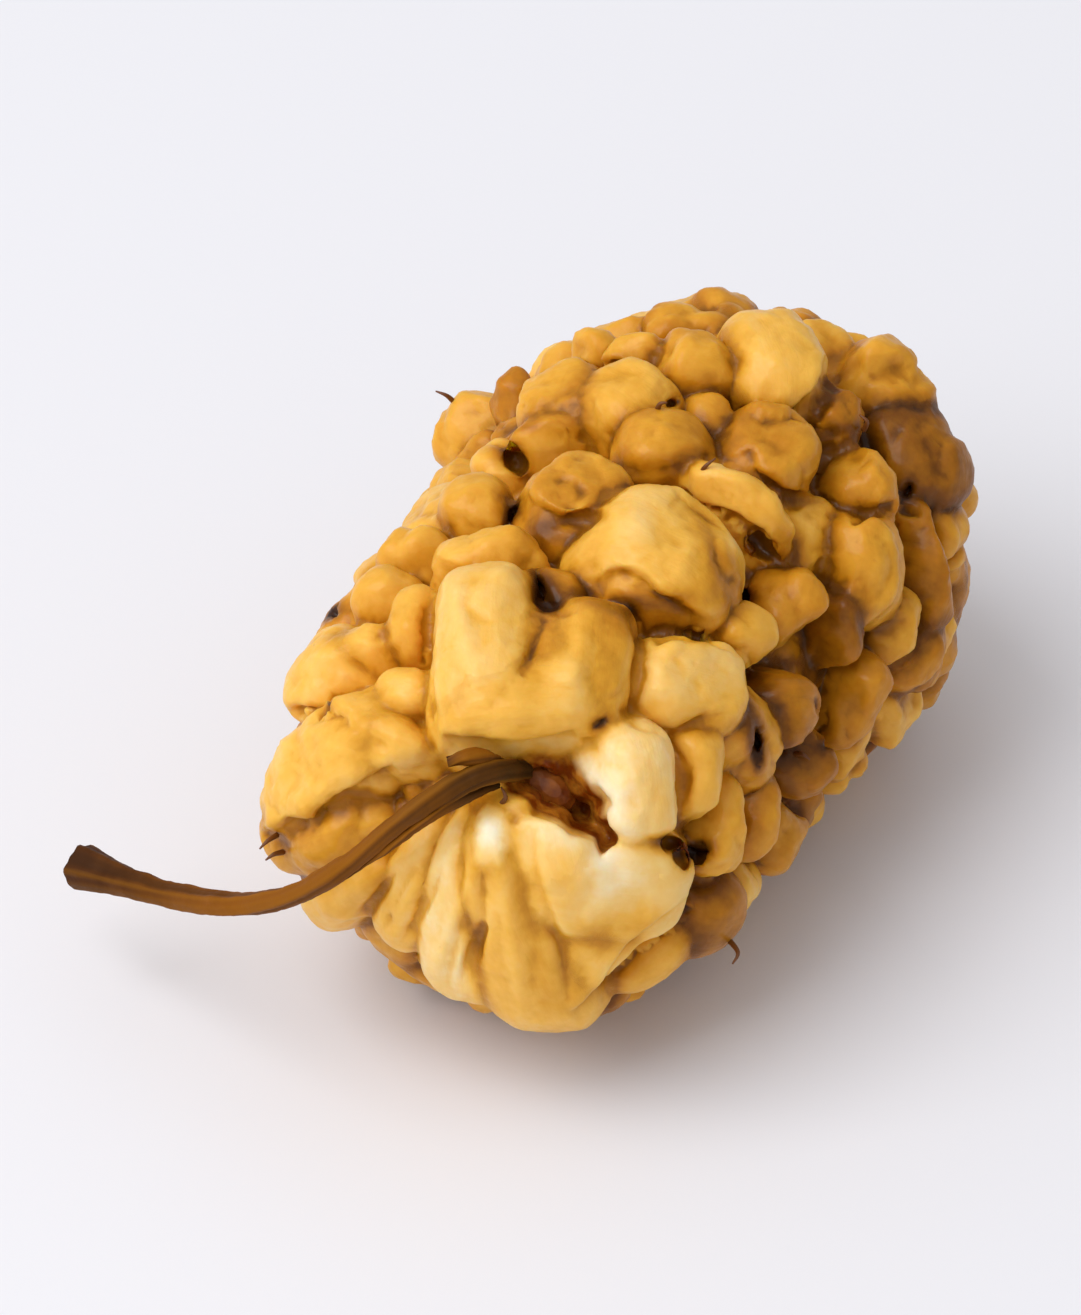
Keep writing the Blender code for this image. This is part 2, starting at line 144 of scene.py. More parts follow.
# The right flank is turned from the light, and its lobes' dark tones are partly browning and partly painted
# shade.
FLANK_LOBES = (
    (5.80, 1.60, 2.2, 0.85, 97, 0, 1.30, 0.82),
    (3.30, 0.95, 1.4, 1.10, 60, 0, 1.30, 0.70),
    (4.15, 0.60, 1.3, 0.60, 110, 0, 1.10, 0.90),
    (4.55, -1.00, 1.6, 0.95, 75, 0, 1.30, 0.75),
    (5.55, -0.15, 1.4, 1.20, 35, 0, 1.25, 0.75),
    (3.70, -1.90, 1.1, 0.90, 40, 0, 1.15, 0.90),
    (4.60, -2.30, 1.5, 0.95, 50, 0, 0.85, 0.90),
    (3.60, -3.05, 1.4, 0.95, 40, 0, 0.85, 0.85),
    (2.00, -3.00, 1.6, 1.00, 75, 0, 1.35, 0.52),
    (2.75, -2.90, 1.4, 0.80, 80, 0, 1.20, 0.70),
)
DRUPELETS = 33
GOLDEN_TURN = math.radians(137.508)
NEARLY_ALONG = Vector((0.1, 1, 0.2))  # along the fruit, but never straight out of it
LARGE_LOBE = ((2.4, 1.9), 1.02, 0.98)
SMALL_LOBE = ((1.7, 1.45), 0.95, 0.80)
FILLER_LOBE = ((1.6, 1.5), 0.85)
FILLER_TRIES = 900
SIZE_CHANCE = 0.16
RISE_CHANCE = 0.24
TURN_CHANCE = 0.2
CLOSEST = 0.70
FULLNESS = 2.6
MEASURE_TO_ROOT = 1.3
TONE_BY_RULE = (0.28, 0.72)


def half_width(y):
    """The barrel's half width, but for the rounding of its ends."""
    share = y / HALF_LENGTH
    swell = TIP_SWELL * np.sin(share * math.pi / 2)
    waist = WAIST * np.exp(-((WAIST_FADE * share) ** 2))
    return HALF_WIDTH * (1 + swell - waist)


def outside(point):
    """Below 0 inside the barrel through the lobes' crowns, and above 0 outside it."""
    off_axis = math.hypot(point.x, point.z)
    return (abs(point.y) / HALF_LENGTH) ** BARREL + (off_axis / half_width(point.y)) ** BARREL - 1


def steepest(point):
    """The direction in which outside() grows, and how fast it grows there."""
    here = outside(point)
    steps = [Vector((NEAR, 0, 0)), Vector((0, NEAR, 0)), Vector((0, 0, NEAR))]
    slope = Vector([(outside(point + step) - here) / NEAR for step in steps])
    return slope.normalized(), slope.length


def settled(point):
    """The point moved onto the barrel."""
    for _ in range(SETTLING_STEPS):
        direction, rate = steepest(point)
        point = point - direction * (outside(point) / rate)
    return point


def in_view(right, up, toward):
    return VIEW_RIGHT * right + VIEW_UP * up + VIEW_TOWARD * toward


def turned_in_view(turn):
    """The direction so many degrees round from the right, in the plane of the view."""
    angle = math.radians(turn)
    return in_view(math.cos(angle), math.sin(angle), 0)


def seen_at(right, up):
    """Where the line of sight at this place in the view meets the barrel, or passes closest to it."""
    reach = HALF_LENGTH + HALF_WIDTH
    line = [in_view(right, up, depth) for depth in np.arange(reach, -reach, -SIGHT_STEP)]
    for point in line:
        if outside(point) <= 0:
            return settled(point)
    return settled(min(line, key=outside))


def ball_at(place, along, out, sizes):
    """The matrix that sizes a unit ball, turns it by two of its directions and puts it at the place."""
    turned = Matrix((along, out.cross(along), out)).transposed().to_4x4()
    sized = Matrix.Diagonal((*[size / 2 for size in sizes], 1))
    return Matrix.Translation(place) @ turned @ sized


def standing_on(place, heading, sunk, sizes):
    """The ball that stands out from the barrel at the place, sunk into it by a depth."""
    out, _ = steepest(place)
    along = (heading - out * heading.dot(out)).normalized()
    return ball_at(place - out * sunk, along, out, sizes)


def lobe_at(place, heading, length, width, widening, rise):
    return {
        "place": place,
        "size": (length + width) / 2,
        "widening": widening,
        "matrix": standing_on(place, heading, LOBE_ROOT, (length, width, rise * 2)),
        "facets": [],
        "rings": [],
    }


def lobes_that_show(rows):
    lobes = []
    for right, up, length, width, turn, widening, rise, tone in rows:
        length *= MEASURE_TO_ROOT
        width *= MEASURE_TO_ROOT
        lobe = lobe_at(seen_at(right, up), turned_in_view(turn), length, width, widening, rise)
        lobes.append({**lobe, "tone": tone})
    return lobes


def ring_radius(y):
    return half_width(y) * max(1 - (abs(y) / HALF_LENGTH) ** BARREL, 0) ** (1 / BARREL)


def spiral_places(number):
    """Places on the barrel that are equally far apart, along a golden-angle spiral."""
    along = np.linspace(-HALF_LENGTH, HALF_LENGTH, SPIRAL_RINGS)
    radii = np.array([ring_radius(y) for y in along])
    slant = np.hypot(np.diff(along), np.diff(radii))
    area = np.concatenate([[0], np.cumsum(slant * (radii[1:] + radii[:-1]))])
    shares = (np.arange(number) + 0.5) / number * area[-1]
    places = []
    for count, y in enumerate(np.interp(shares, area, along)):
        turn = count * GOLDEN_TURN
        radius = ring_radius(y)
        places.append(settled(Vector((radius * math.cos(turn), y, radius * math.sin(turn)))))
    return places


def has_room(lobe, others):
    return all(
        (other["place"] - lobe["place"]).length > CLOSEST * (other["size"] + lobe["size"]) / 2
        for other in others
    )


def grown_lobe(place, heading, size, rise, chance):
    """A lobe of about this length and width, as chance has it."""
    share = chance.uniform(1 - SIZE_CHANCE, 1 + SIZE_CHANCE)
    height = rise * chance.uniform(1 - RISE_CHANCE, 1 + RISE_CHANCE)
    return lobe_at(place, heading, size[0] * share, size[1] * share, 0, height)


def drupelet_lobes(pit, chance):
    """Two large lobes and two small ones, in turn round the pit."""
    out, _ = steepest(pit)
    sideways = out.cross(NEARLY_ALONG).normalized()
    start = chance.uniform(0, math.pi)
    lobes = []
    for quarter in range(4):
        size, rise, reach = SMALL_LOBE if quarter % 2 else LARGE_LOBE
        turn = start + quarter * math.pi / 2 + chance.uniform(-TURN_CHANCE, TURN_CHANCE)
        away = Matrix.Rotation(turn, 3, out) @ sideways
        lobes.append(grown_lobe(settled(pit + away * reach), out.cross(away), size, rise, chance))
    return lobes


def filler_lobe(place, chance):
    heading = Vector([chance.uniform(-1, 1) for _ in range(3)])
    size, rise = FILLER_LOBE
    return grown_lobe(place, heading, size, rise, chance)


def lobes_by_rule(standing):
    """The lobes that stand, and after them those that find room."""
    chance = random.Random(SEED_OF_CHANCE)
    lobes = list(standing)
    for pit in spiral_places(DRUPELETS):
        lobes += [lobe for lobe in drupelet_lobes(pit, chance) if has_room(lobe, lobes)]
    for place in spiral_places(FILLER_TRIES):
        lobe = filler_lobe(place, chance)
        if has_room(lobe, lobes):
            lobes.append(lobe)
    return lobes


# The lobes are melted together in a grid of distances, and the skin is where the distance is nothing.
PITCH = 0.075  # of the grid
MELT = 0.045  # how softly lobes meet
FAN_MELT = 0.09
MOLAR_MELT = 0.38
CROWN_MELT = 0.13
PLUMP_MELT = 0.07
SQUARE = 4.0  # fullness of the outline of the molar's lobes
CROWN_FULLNESS = 3.1  # of a lobe's profile: more is flatter on top
WIDENING_LIMITS = (0.4, 2)
FACETS = 1  # flats that neighbours pressed on a lobe
FACET_RISE = (0.1, 0.95)  # how far a flat faces outward
FACET_DEPTH = (0.74, 1.00)
FACET_EDGE = 0.12
LEAN = math.radians(19)  # at most, of a lobe over its neighbour
RINGS_EACH = (1, 2)  # that a lobe shrank in
RING_PLACE = (0.2, 0.8)  # of the rings' middle from the lobe's
RING_SIZE = (0.45, 1.10)
RING_STEP = (-0.04, 0.12)  # how much lower a lobe is outside its ring
RING_EDGE = 0.075
RING_GROOVE = 0.04
RING_GROOVE_WIDTH = 1.4  # of the ring's edge
SKIN_ROOM = 0.5  # in the grid, round what is melted in or hollowed out
ROOM_ACROSS = 1.2  # in the grid, round the barrel
ROOM_ALONG = 1.0
LOBE_SPREAD = 1.15  # of a lobe's half length, where it widens
FAR = 99.0  # farther than any place here
CELL_CORNERS = [(i, j, k) for i in (0, 1) for j in (0, 1) for k in (0, 1)]


def melted(a, b, width):
    """The nearer of two distances, rounded off where they are alike."""
    share = np.clip(0.5 + 0.5 * (b - a) / width, 0, 1)
    return b * (1 - share) + a * share - width * share * (1 - share)


def without(field, hollow, width):
    """The field of distances with a hollow taken out, whose own distances are below 0 inside it."""
    return -melted(-field, hollow, width)


def from_core(points):
    """About how far a place is outside the solid middle."""
    share = np.abs(points[..., 1] / HALF_LENGTH)
    off_axis = np.hypot(points[..., 0], points[..., 2]) / half_width(points[..., 1])
    level = (share**BARREL + off_axis**BARREL) ** (1 / BARREL) + NEAR
    return np.linalg.norm(points, axis=-1) * (1 - 1 / level) + CORE_DEPTH


def in_ball(matrix, points):
    """Places as the sized ball's own: 1 is its skin along each of its axes."""
    matrix = np.array(matrix)
    return (points - matrix[:3, 3]) @ np.linalg.inv(matrix[:3, :3]).T


def half_sizes(matrix):
    return np.linalg.norm(np.array(matrix)[:3, :3], axis=0)


def lobe_reach(lobe, unit):
    """How far out a place is in the lobe, 1 on its skin."""
    fullness = lobe["fullness"]
    across = np.abs(unit[..., 1] / np.clip(1 + lobe["widening"] * unit[..., 0], *WIDENING_LIMITS))
    flat = (np.abs(unit[..., 0]) ** fullness + across**fullness) ** (1 / fullness)
    return (flat**CROWN_FULLNESS + np.abs(unit[..., 2]) ** CROWN_FULLNESS) ** (1 / CROWN_FULLNESS)


def from_lobe(lobe, points):
    """About how far a place is outside the lobe, with the flats and rings that drying gave it."""
    unit = in_ball(lobe["matrix"], points)
    half = lobe["half"]
    reach = lobe_reach(lobe, unit)
    away = reach * (reach - 1) / (np.linalg.norm(unit / half, axis=-1) + NEAR)
    for normal, depth in lobe["facets"]:
        flat = (unit @ normal - depth) * half.mean()
        away = without(away, -flat, FACET_EDGE)
    for x, y, size, step in lobe["rings"]:
        beyond = (np.hypot(unit[..., 0] - x, unit[..., 1] - y) - size) * half[:2].mean()
        away += step * (0.5 + 0.5 * np.tanh(beyond / RING_EDGE))
        away += RING_GROOVE * np.exp(-((beyond / RING_EDGE / RING_GROOVE_WIDTH) ** 2))
    return away


def dried(lobe, facets, chance):
    """Leans the lobe, and gives it flats and rings, as chance has it."""
    turn = chance.uniform(0, 2 * math.pi)
    place, turned, size = lobe["matrix"].decompose()
    turned = turned @ Quaternion((math.cos(turn), math.sin(turn), 0), chance.uniform(-LEAN, LEAN))
    lobe["matrix"] = Matrix.LocRotScale(place, turned, size)
    for _ in range(facets):
        turn = chance.uniform(0, 2 * math.pi)
        rise = chance.uniform(*FACET_RISE)
        side = math.sqrt(1 - rise**2)
        normal = np.array([side * math.cos(turn), side * math.sin(turn), rise])
        lobe["facets"].append((normal, chance.uniform(*FACET_DEPTH)))
    turn = chance.uniform(0, 2 * math.pi)
    for _ in range(chance.choice(RINGS_EACH)):
        away = chance.uniform(*RING_PLACE)
        size = chance.uniform(*RING_SIZE)
        ring = (away * math.cos(turn), away * math.sin(turn), size, chance.uniform(*RING_STEP))
        lobe["rings"].append(ring)


def places_in(axes, window):
    parts = [axis[part] for axis, part in zip(axes, window)]
    return np.stack(np.meshgrid(*parts, indexing="ij"), axis=-1)


def window_round(axes, centre, reach):
    return tuple(
        slice(np.searchsorted(axis, middle - reach), np.searchsorted(axis, middle + reach))
        for axis, middle in zip(axes, centre)
    )


def skin_of(axes, field):
    """The closed mesh where the field passes through 0, with a corner in each cell that it crosses."""
    inside = field < 0
    shape = [n - 1 for n in field.shape]

    def at_corner(grid, step):
        return grid[tuple(slice(s, s + n) for s, n in zip(step, shape))]

    within = sum(at_corner(inside, step).astype(np.int8) for step in CELL_CORNERS)
    crossed = (within > 0) & (within < 8)
    cells = np.argwhere(crossed)
    values = {step: at_corner(field, step)[crossed] for step in CELL_CORNERS}
    total = np.zeros((len(cells), 3))
    count = np.zeros(len(cells))
    for start in CELL_CORNERS:
        for axis in range(3):
            if start[axis]:
                continue
            end = tuple(s + (i == axis) for i, s in enumerate(start))
            a, b = values[start], values[end]
            cut = (a < 0) != (b < 0)
            share = np.where(cut, a / np.where(cut, a - b, 1), 0)
            place = np.array(start, float) + np.outer(share, np.eye(3)[axis])
            total += place * cut[:, None]
            count += cut
    low = np.array([axis[0] for axis in axes])
    corners = low + (cells + total / count[:, None]) * PITCH
    number = np.full(shape, -1)
    number[crossed] = np.arange(len(cells))
    quads = []
    step = np.eye(3, dtype=int)
    for axis in range(3):
        u, v = [other for other in range(3) if other != axis]
        a = at_corner(inside, (0, 0, 0))
        b = at_corner(inside, step[axis])
        edges = np.argwhere(a != b)
        edges = edges[(edges[:, u] > 0) & (edges[:, v] > 0)]
        ring = [edges - step[u] - step[v], edges - step[v], edges, edges - step[u]]
        quad = np.stack([number[tuple(cell.T)] for cell in ring], axis=1)
        leaving = a[tuple(edges.T)]
        if axis == 1:
            leaving = ~leaving
        quads.append(np.where(leaving[:, None], quad, quad[:, ::-1]))
    return corners, np.concatenate(quads)


# How softly each group of lobes melts, how many flats they have, with None for no flats, lean or rings, how
# full their outline is, and how wrinkled they are. The molar's are one family, with no seams between them.
chance = random.Random(SEED_OF_CHANCE + 1)
MOLAR = -1
shown = []
for rows, melt, flats, fullness, wrinkled in (
    (FAN_LOBES, FAN_MELT, None, FULLNESS, 0.4),
    (MOLAR_LOBES, MOLAR_MELT, None, SQUARE, 0.6),
    (CROWN_LOBES, CROWN_MELT, None, FULLNESS, 0.9),
    (SMOOTH_LOBES, PLUMP_MELT, None, FULLNESS, 0.8),
    (RINGED_LOBES, PLUMP_MELT, 0, FULLNESS, 0.9),
    (TOP_LOBES, MELT, FACETS, FULLNESS, 0.9),
    (FLANK_LOBES, MELT, FACETS, FULLNESS, 0.9),
):
    for lobe in lobes_that_show(rows):
        lobe.update(melt=melt, flats=flats, fullness=fullness, wrinkled=wrinkled)
        if rows is MOLAR_LOBES:
            lobe["family"] = MOLAR
        shown.append(lobe)
lobes = lobes_by_rule(shown)
reach = Vector((HALF_WIDTH + ROOM_ACROSS, HALF_LENGTH + ROOM_ALONG, HALF_WIDTH + ROOM_ACROSS))
axes = [np.arange(-half, half, PITCH) for half in reach]
field = from_core(places_in(axes, (slice(None),) * 3))


def melt_in(lobe, melt):
    lobe["half"] = half_sizes(lobe["matrix"])
    window = window_round(axes, lobe["matrix"].translation, lobe["half"].max() * LOBE_SPREAD + SKIN_ROOM)
    field[window] = melted(field[window], from_lobe(lobe, places_in(axes, window)), melt)


AS_THE_REST = {"melt": MELT, "flats": FACETS, "fullness": FULLNESS, "wrinkled": 1.0}
for number, lobe in enumerate(lobes):
    lobe.update({"family": number, **AS_THE_REST, **lobe})
    if lobe["flats"] is not None:
        dried(lobe, lobe["flats"], chance)
    melt_in(lobe, lobe["melt"])

# The pale knob that the fan's skin was drawn up to, and the torn top of the cream lobe beside it.
KNOB_LOBES = (
    (-2.28, -3.15, 1.0, 0.55, -95, 0, 1.46, -0.10),
    (-1.20, -3.40, 1.5, 1.10, -75, 0, 1.50, 0.08),
)
KNOB_MELT = 0.35
KNOB_WRINKLED = 0.2
for lobe in lobes_that_show(KNOB_LOBES):
    lobe.update({"family": len(lobes), **AS_THE_REST, "wrinkled": KNOB_WRINKLED})
    melt_in(lobe, KNOB_MELT)
    lobes.append(lobe)

LATTICE = 32


def noise(points, width, draw):
    """Smooth chance between -1 and 1, of this draw, whose bumps are as wide as this."""
    lattice = np.random.default_rng(draw).uniform(-1, 1, (LATTICE,) * 3)
    cell = points / width
    base = np.floor(cell).astype(int)
    share = cell - base
    share = share * share * (3 - 2 * share)
    total = 0
    for step in CELL_CORNERS:
        weight = np.prod(np.where(step, share, 1 - share), axis=-1)
        total = total + weight * lattice[tuple(np.moveaxis((base + step) % LATTICE, -1, 0))]
    return total


def layered(points, layers, draw):
    """Smooth chance in layers, each of a height and a width."""
    return sum(height * noise(points, width, draw + i) for i, (height, width) in enumerate(layers))


# What is hollowed out: the torn hole beside the stalk, and the pits between lobes. The hole has the outline
# that it shows in the view. A pit is a row of right, up, length, width, turn and depth.
TORN_OUTLINE = (
    (-1.78, -1.72),
    (-1.42, -1.64),
    (-1.22, -1.74),
    (-0.95, -1.66),
    (-0.74, -2.00),
    (-0.58, -2.20),
    (-0.24, -2.42),
    (-0.30, -2.72),
    (-0.06, -3.05),
    (-0.08, -3.26),
    (-0.40, -3.42),
    (-0.52, -3.14),
    (-0.92, -3.06),
    (-1.16, -2.86),
    (-1.60, -2.74),
    (-1.72, -2.50),
    (-2.02, -2.36),
    (-2.12, -2.12),
)
TORN_MIDDLE = (-1.05, -2.40)
TORN_REACH = 2.2  # of the hole round that middle
TORN_DEPTH = 1.75
TORN_FOLDS = 0.28
TORN_FOLD_LAYERS = ((1, 0.5), (0.5, 0.22))
TORN_TAPER = 0.25
TORN_TAPER_DEPTH = 2
TORN_RAGGED = ((0.06, 0.25),)
FOLD_DRAW = 11
RAGGED_DRAW = 13
PIT_DRAW = 40
PITS_THAT_SHOW = (
    (-1.40, 1.12, 0.62, 0.32, -70, 0.60),
    (-0.42, -1.14, 0.28, 0.12, 30, 0.13),
    (0.80, -3.22, 0.46, 0.26, -12, 0.65),
    (1.00, -3.42, 0.48, 0.30, -70, 0.70),
    (1.28, -3.36, 0.46, 0.30, 20, 0.60),
    (-5.21, -0.84, 0.34, 0.18, 10, 0.30),
    (-5.08, 0.78, 0.46, 0.28, 20, 0.40),
    (-3.35, 0.15, 0.22, 0.10, 80, 0.20),
    (-3.35, -0.90, 0.22, 0.10, 80, 0.15),
    (-1.86, 3.52, 0.42, 0.26, -60, 0.45),
    (-1.96, 2.48, 0.38, 0.18, 62, 0.36),
    (2.48, 1.90, 0.60, 0.28, -42, 0.42),
    (1.34, 0.33, 0.42, 0.18, 5, 0.35),
    (2.14, 1.05, 0.36, 0.22, 0, 0.35),
    (2.32, -1.55, 0.82, 0.22, -83, 0.45),
    (3.60, -1.55, 0.26, 0.12, 20, 0.22),
    (0.90, 4.50, 0.24, 0.10, 20, 0.20),
    (5.10, 3.00, 0.34, 0.14, 70, 0.30),
    (-5.40, -2.65, 0.16, 0.08, 10, 0.08),
)
PIT_SIZE = (0.42, 0.26, 1.3)  # of one that the view doesn't show
PIT_SUNK = 0.3
PIT_SHARE = 0.7  # of the drupelets that have an open pit there
PIT_RAGGED = 0.10
PIT_LAYERS = ((1, 0.26), (0.6, 0.14))
RIM = 0.05
LOOSE_ROUNDS = 12


def skin_seen_at(right, up):
    """Where the line of sight at this place in the view meets the skin, or passes closest to it."""
    depths = np.arange(HALF_LENGTH, -HALF_LENGTH, -PITCH / 2)
    line = np.array(in_view(right, up, 0)) + np.outer(depths, VIEW_TOWARD)
    cells = np.round((line - [axis[0] for axis in axes]) / PITCH).astype(int)
    within = ((cells >= 0) & (cells < field.shape)).all(1)
    levels = field[tuple(cells[within].T)]
    first = np.argmax(levels < 0) if (levels < 0).any() else np.argmin(levels)
    return Vector(line[within][first])


def hollow_out(matrix, draw):
    """Takes a ball with a ragged rim out of the field."""
    half = half_sizes(matrix)
    window = window_round(axes, matrix.translation, half.max() + SKIN_ROOM)
    points = places_in(axes, window)
    away = (np.linalg.norm(in_ball(matrix, points), axis=-1) - 1) * half[:2].mean()
    rough = PIT_RAGGED * layered(points, PIT_LAYERS, draw)
    field[window] = without(field[window], away + rough, RIM)


def from_outline(outline, flat):
    """How far places are outside the outline, and below 0 inside it."""
    nearest = np.full(len(flat), FAR)
    inside = np.zeros(len(flat), bool)
    for start, end in zip(np.array(outline), np.roll(outline, -1, axis=0)):
        run = end - start
        share = np.clip((flat - start) @ run / (run @ run), 0, 1)
        nearest = np.minimum(nearest, np.hypot(*(flat - start - np.outer(share, run)).T))
        between = (start[1] > flat[:, 1]) != (end[1] > flat[:, 1])
        crossing = start[0] + run[0] * (flat[:, 1] - start[1]) / (run[1] if run[1] else NEAR)
        inside ^= between & (flat[:, 0] < crossing)
    return np.where(inside, -nearest, nearest)


torn_middle = skin_seen_at(*TORN_MIDDLE)
window = window_round(axes, torn_middle, TORN_REACH)
points = places_in(axes, window).reshape(-1, 3)
seen = points @ VIEW_AXES.T
deep = CORE_DEPTH - from_core(points)
floor = TORN_DEPTH + TORN_FOLDS * layered(points, TORN_FOLD_LAYERS, FOLD_DRAW)
sides = from_outline(TORN_OUTLINE, seen[:, :2]) + TORN_TAPER * np.clip(deep, 0, TORN_TAPER_DEPTH)
sides += layered(points, TORN_RAGGED, RAGGED_DRAW)
hole = np.maximum(sides, deep - floor).reshape(field[window].shape)
field[window] = without(field[window], hole, RIM)
pits = [
    ball_at(skin_seen_at(right, up), turned_in_view(turn), VIEW_TOWARD, (length, width, depth * 2))
    for right, up, length, width, turn, depth in PITS_THAT_SHOW
]
for place in spiral_places(DRUPELETS):
    if steepest(place)[0].dot(VIEW_TOWARD) < 0 and chance.random() < PIT_SHARE:
        heading = Vector([chance.uniform(-1, 1) for _ in range(3)])
        pits.append(standing_on(place, heading, PIT_SUNK, PIT_SIZE))
for number, matrix in enumerate(pits):
    hollow_out(matrix, PIT_DRAW + number)

# The lowest lobes are flat where the berry lies, because nothing is left below the surface.
above_surface = axes[2] + FRUIT_MIDDLE.z
field = without(field, above_surface, RIM)


def without_loose_corners(field):
    """Fills in where cells would touch along an edge alone, so that the skin stays one closed surface."""
    for _ in range(LOOSE_ROUNDS):
        changed = False
        for u, v in ((0, 1), (0, 2), (1, 2)):
            near, far = slice(None, -1), slice(1, None)
            parts = []
            for first, second in ((near, near), (far, near), (near, far), (far, far)):
                window = [slice(None)] * 3
                window[u], window[v] = first, second
                parts.append(field[tuple(window)])
            a, b, c, d = [part < 0 for part in parts]
            parts[1][a & d & ~b & ~c] = -NEAR
            parts[0][~a & ~d & b & c] = -NEAR
            changed |= bool(((a & d & ~b & ~c) | (~a & ~d & b & c)).any())
        if not changed:
            return


without_loose_corners(field)
corners, quads = skin_of(axes, field)
mesh = bpy.data.meshes.new("drupelets")
mesh.from_pydata(corners.tolist(), [], quads.tolist())
mesh.shade_smooth()

# Folds and grooves are pressed in along paths: the height on the left of the path and how far it reaches,
# and the same on its right. A lip is an edge that curled: raised on the left and sunk on the right.
GROOVE = (-0.09, 0.10, -0.09, 0.10)
FOLD = (0.09, 0.17, 0.09, 0.17)
CRIMP = (-0.05, 0.09, -0.05, 0.09)
LIP = (0.09, 0.28, -0.17, 0.32)
EDGE_SOFTNESS = 0.05
PRESS_REACH = 1  # of a press, past the box that its path fills
SIGHT_REACH = 12
SIGHT_CELL = 0.15
SIGHT_DEPTH = 0.9  # of skin in sight, behind the nearest skin of its cell
SIGHT_FADE = 4
PATH_STEPS = 5


def smooth_path(points, steps=PATH_STEPS):
    """A smooth curve through the points, as rows of its places."""
    rows = np.array([points[0], *points, points[-1]], float)
    path = []
    for before, start, end, after in zip(rows, rows[1:], rows[2:], rows[3:]):
        for t in np.arange(steps) / steps:
            bend = 2 * before - 5 * start + 4 * end - after
            sway = 3 * start - before - 3 * end + after
            path.append(start + 0.5 * ((end - before) * t + bend * t**2 + sway * t**3))
    return np.array([*path, rows[-1]])


def from_path(path, flat):
    """How far places are from a path in their plane, below 0 on its right, and how far along it."""
    nearest = np.full(len(flat), FAR)
    left = np.ones(len(flat))
    along = np.zeros(len(flat))
    for i, (start, end) in enumerate(zip(path, path[1:])):
        run = end - start
        share = np.clip((flat - start) @ run / (run @ run), 0, 1)
        away = flat - start - np.outer(share, run)
        distance = np.hypot(*away.T)
        closer = distance < nearest
        nearest[closer] = distance[closer]
        left[closer] = np.where(run[0] * away[:, 1] > run[1] * away[:, 0], 1, -1)[closer]
        along[closer] = (i + share[closer]) / (len(path) - 1)
    return nearest * left, along


def press_height(kind, away, along):
    left_height, left_width, right_height, right_width = kind
    left = left_height * np.exp(-((away / left_width) ** 2))
    right = right_height * np.exp(-((away / right_width) ** 2))
    share = 0.5 + 0.5 * np.tanh(away / EDGE_SOFTNESS)
    return (left * share + right * (1 - share)) * np.sqrt(np.clip(4 * along * (1 - along), 0, 1))


def normals_of(mesh):
    normals = np.zeros(len(mesh.vertices) * 3, np.float32)
    mesh.vertex_normals.foreach_get("vector", normals)
    return normals.reshape(-1, 3)


def put_corners(mesh, corners):
    mesh.vertices.foreach_set("co", corners.astype(np.float32).ravel())
    mesh.update()


def in_sight(corners, normals):
    """1 where the skin is what shows in the view, fading to 0 where it turns away or lies behind."""
    seen = corners @ VIEW_AXES.T
    cells = np.floor((seen[:, :2] + SIGHT_REACH) / SIGHT_CELL).astype(int)
    nearest = np.full((int(2 * SIGHT_REACH / SIGHT_CELL),) * 2, -FAR)
    np.maximum.at(nearest, tuple(cells.T), seen[:, 2])
    front = seen[:, 2] > nearest[tuple(cells.T)] - SIGHT_DEPTH
    return front * np.clip((normals @ VIEW_AXES[2]) * SIGHT_FADE, 0, 1)


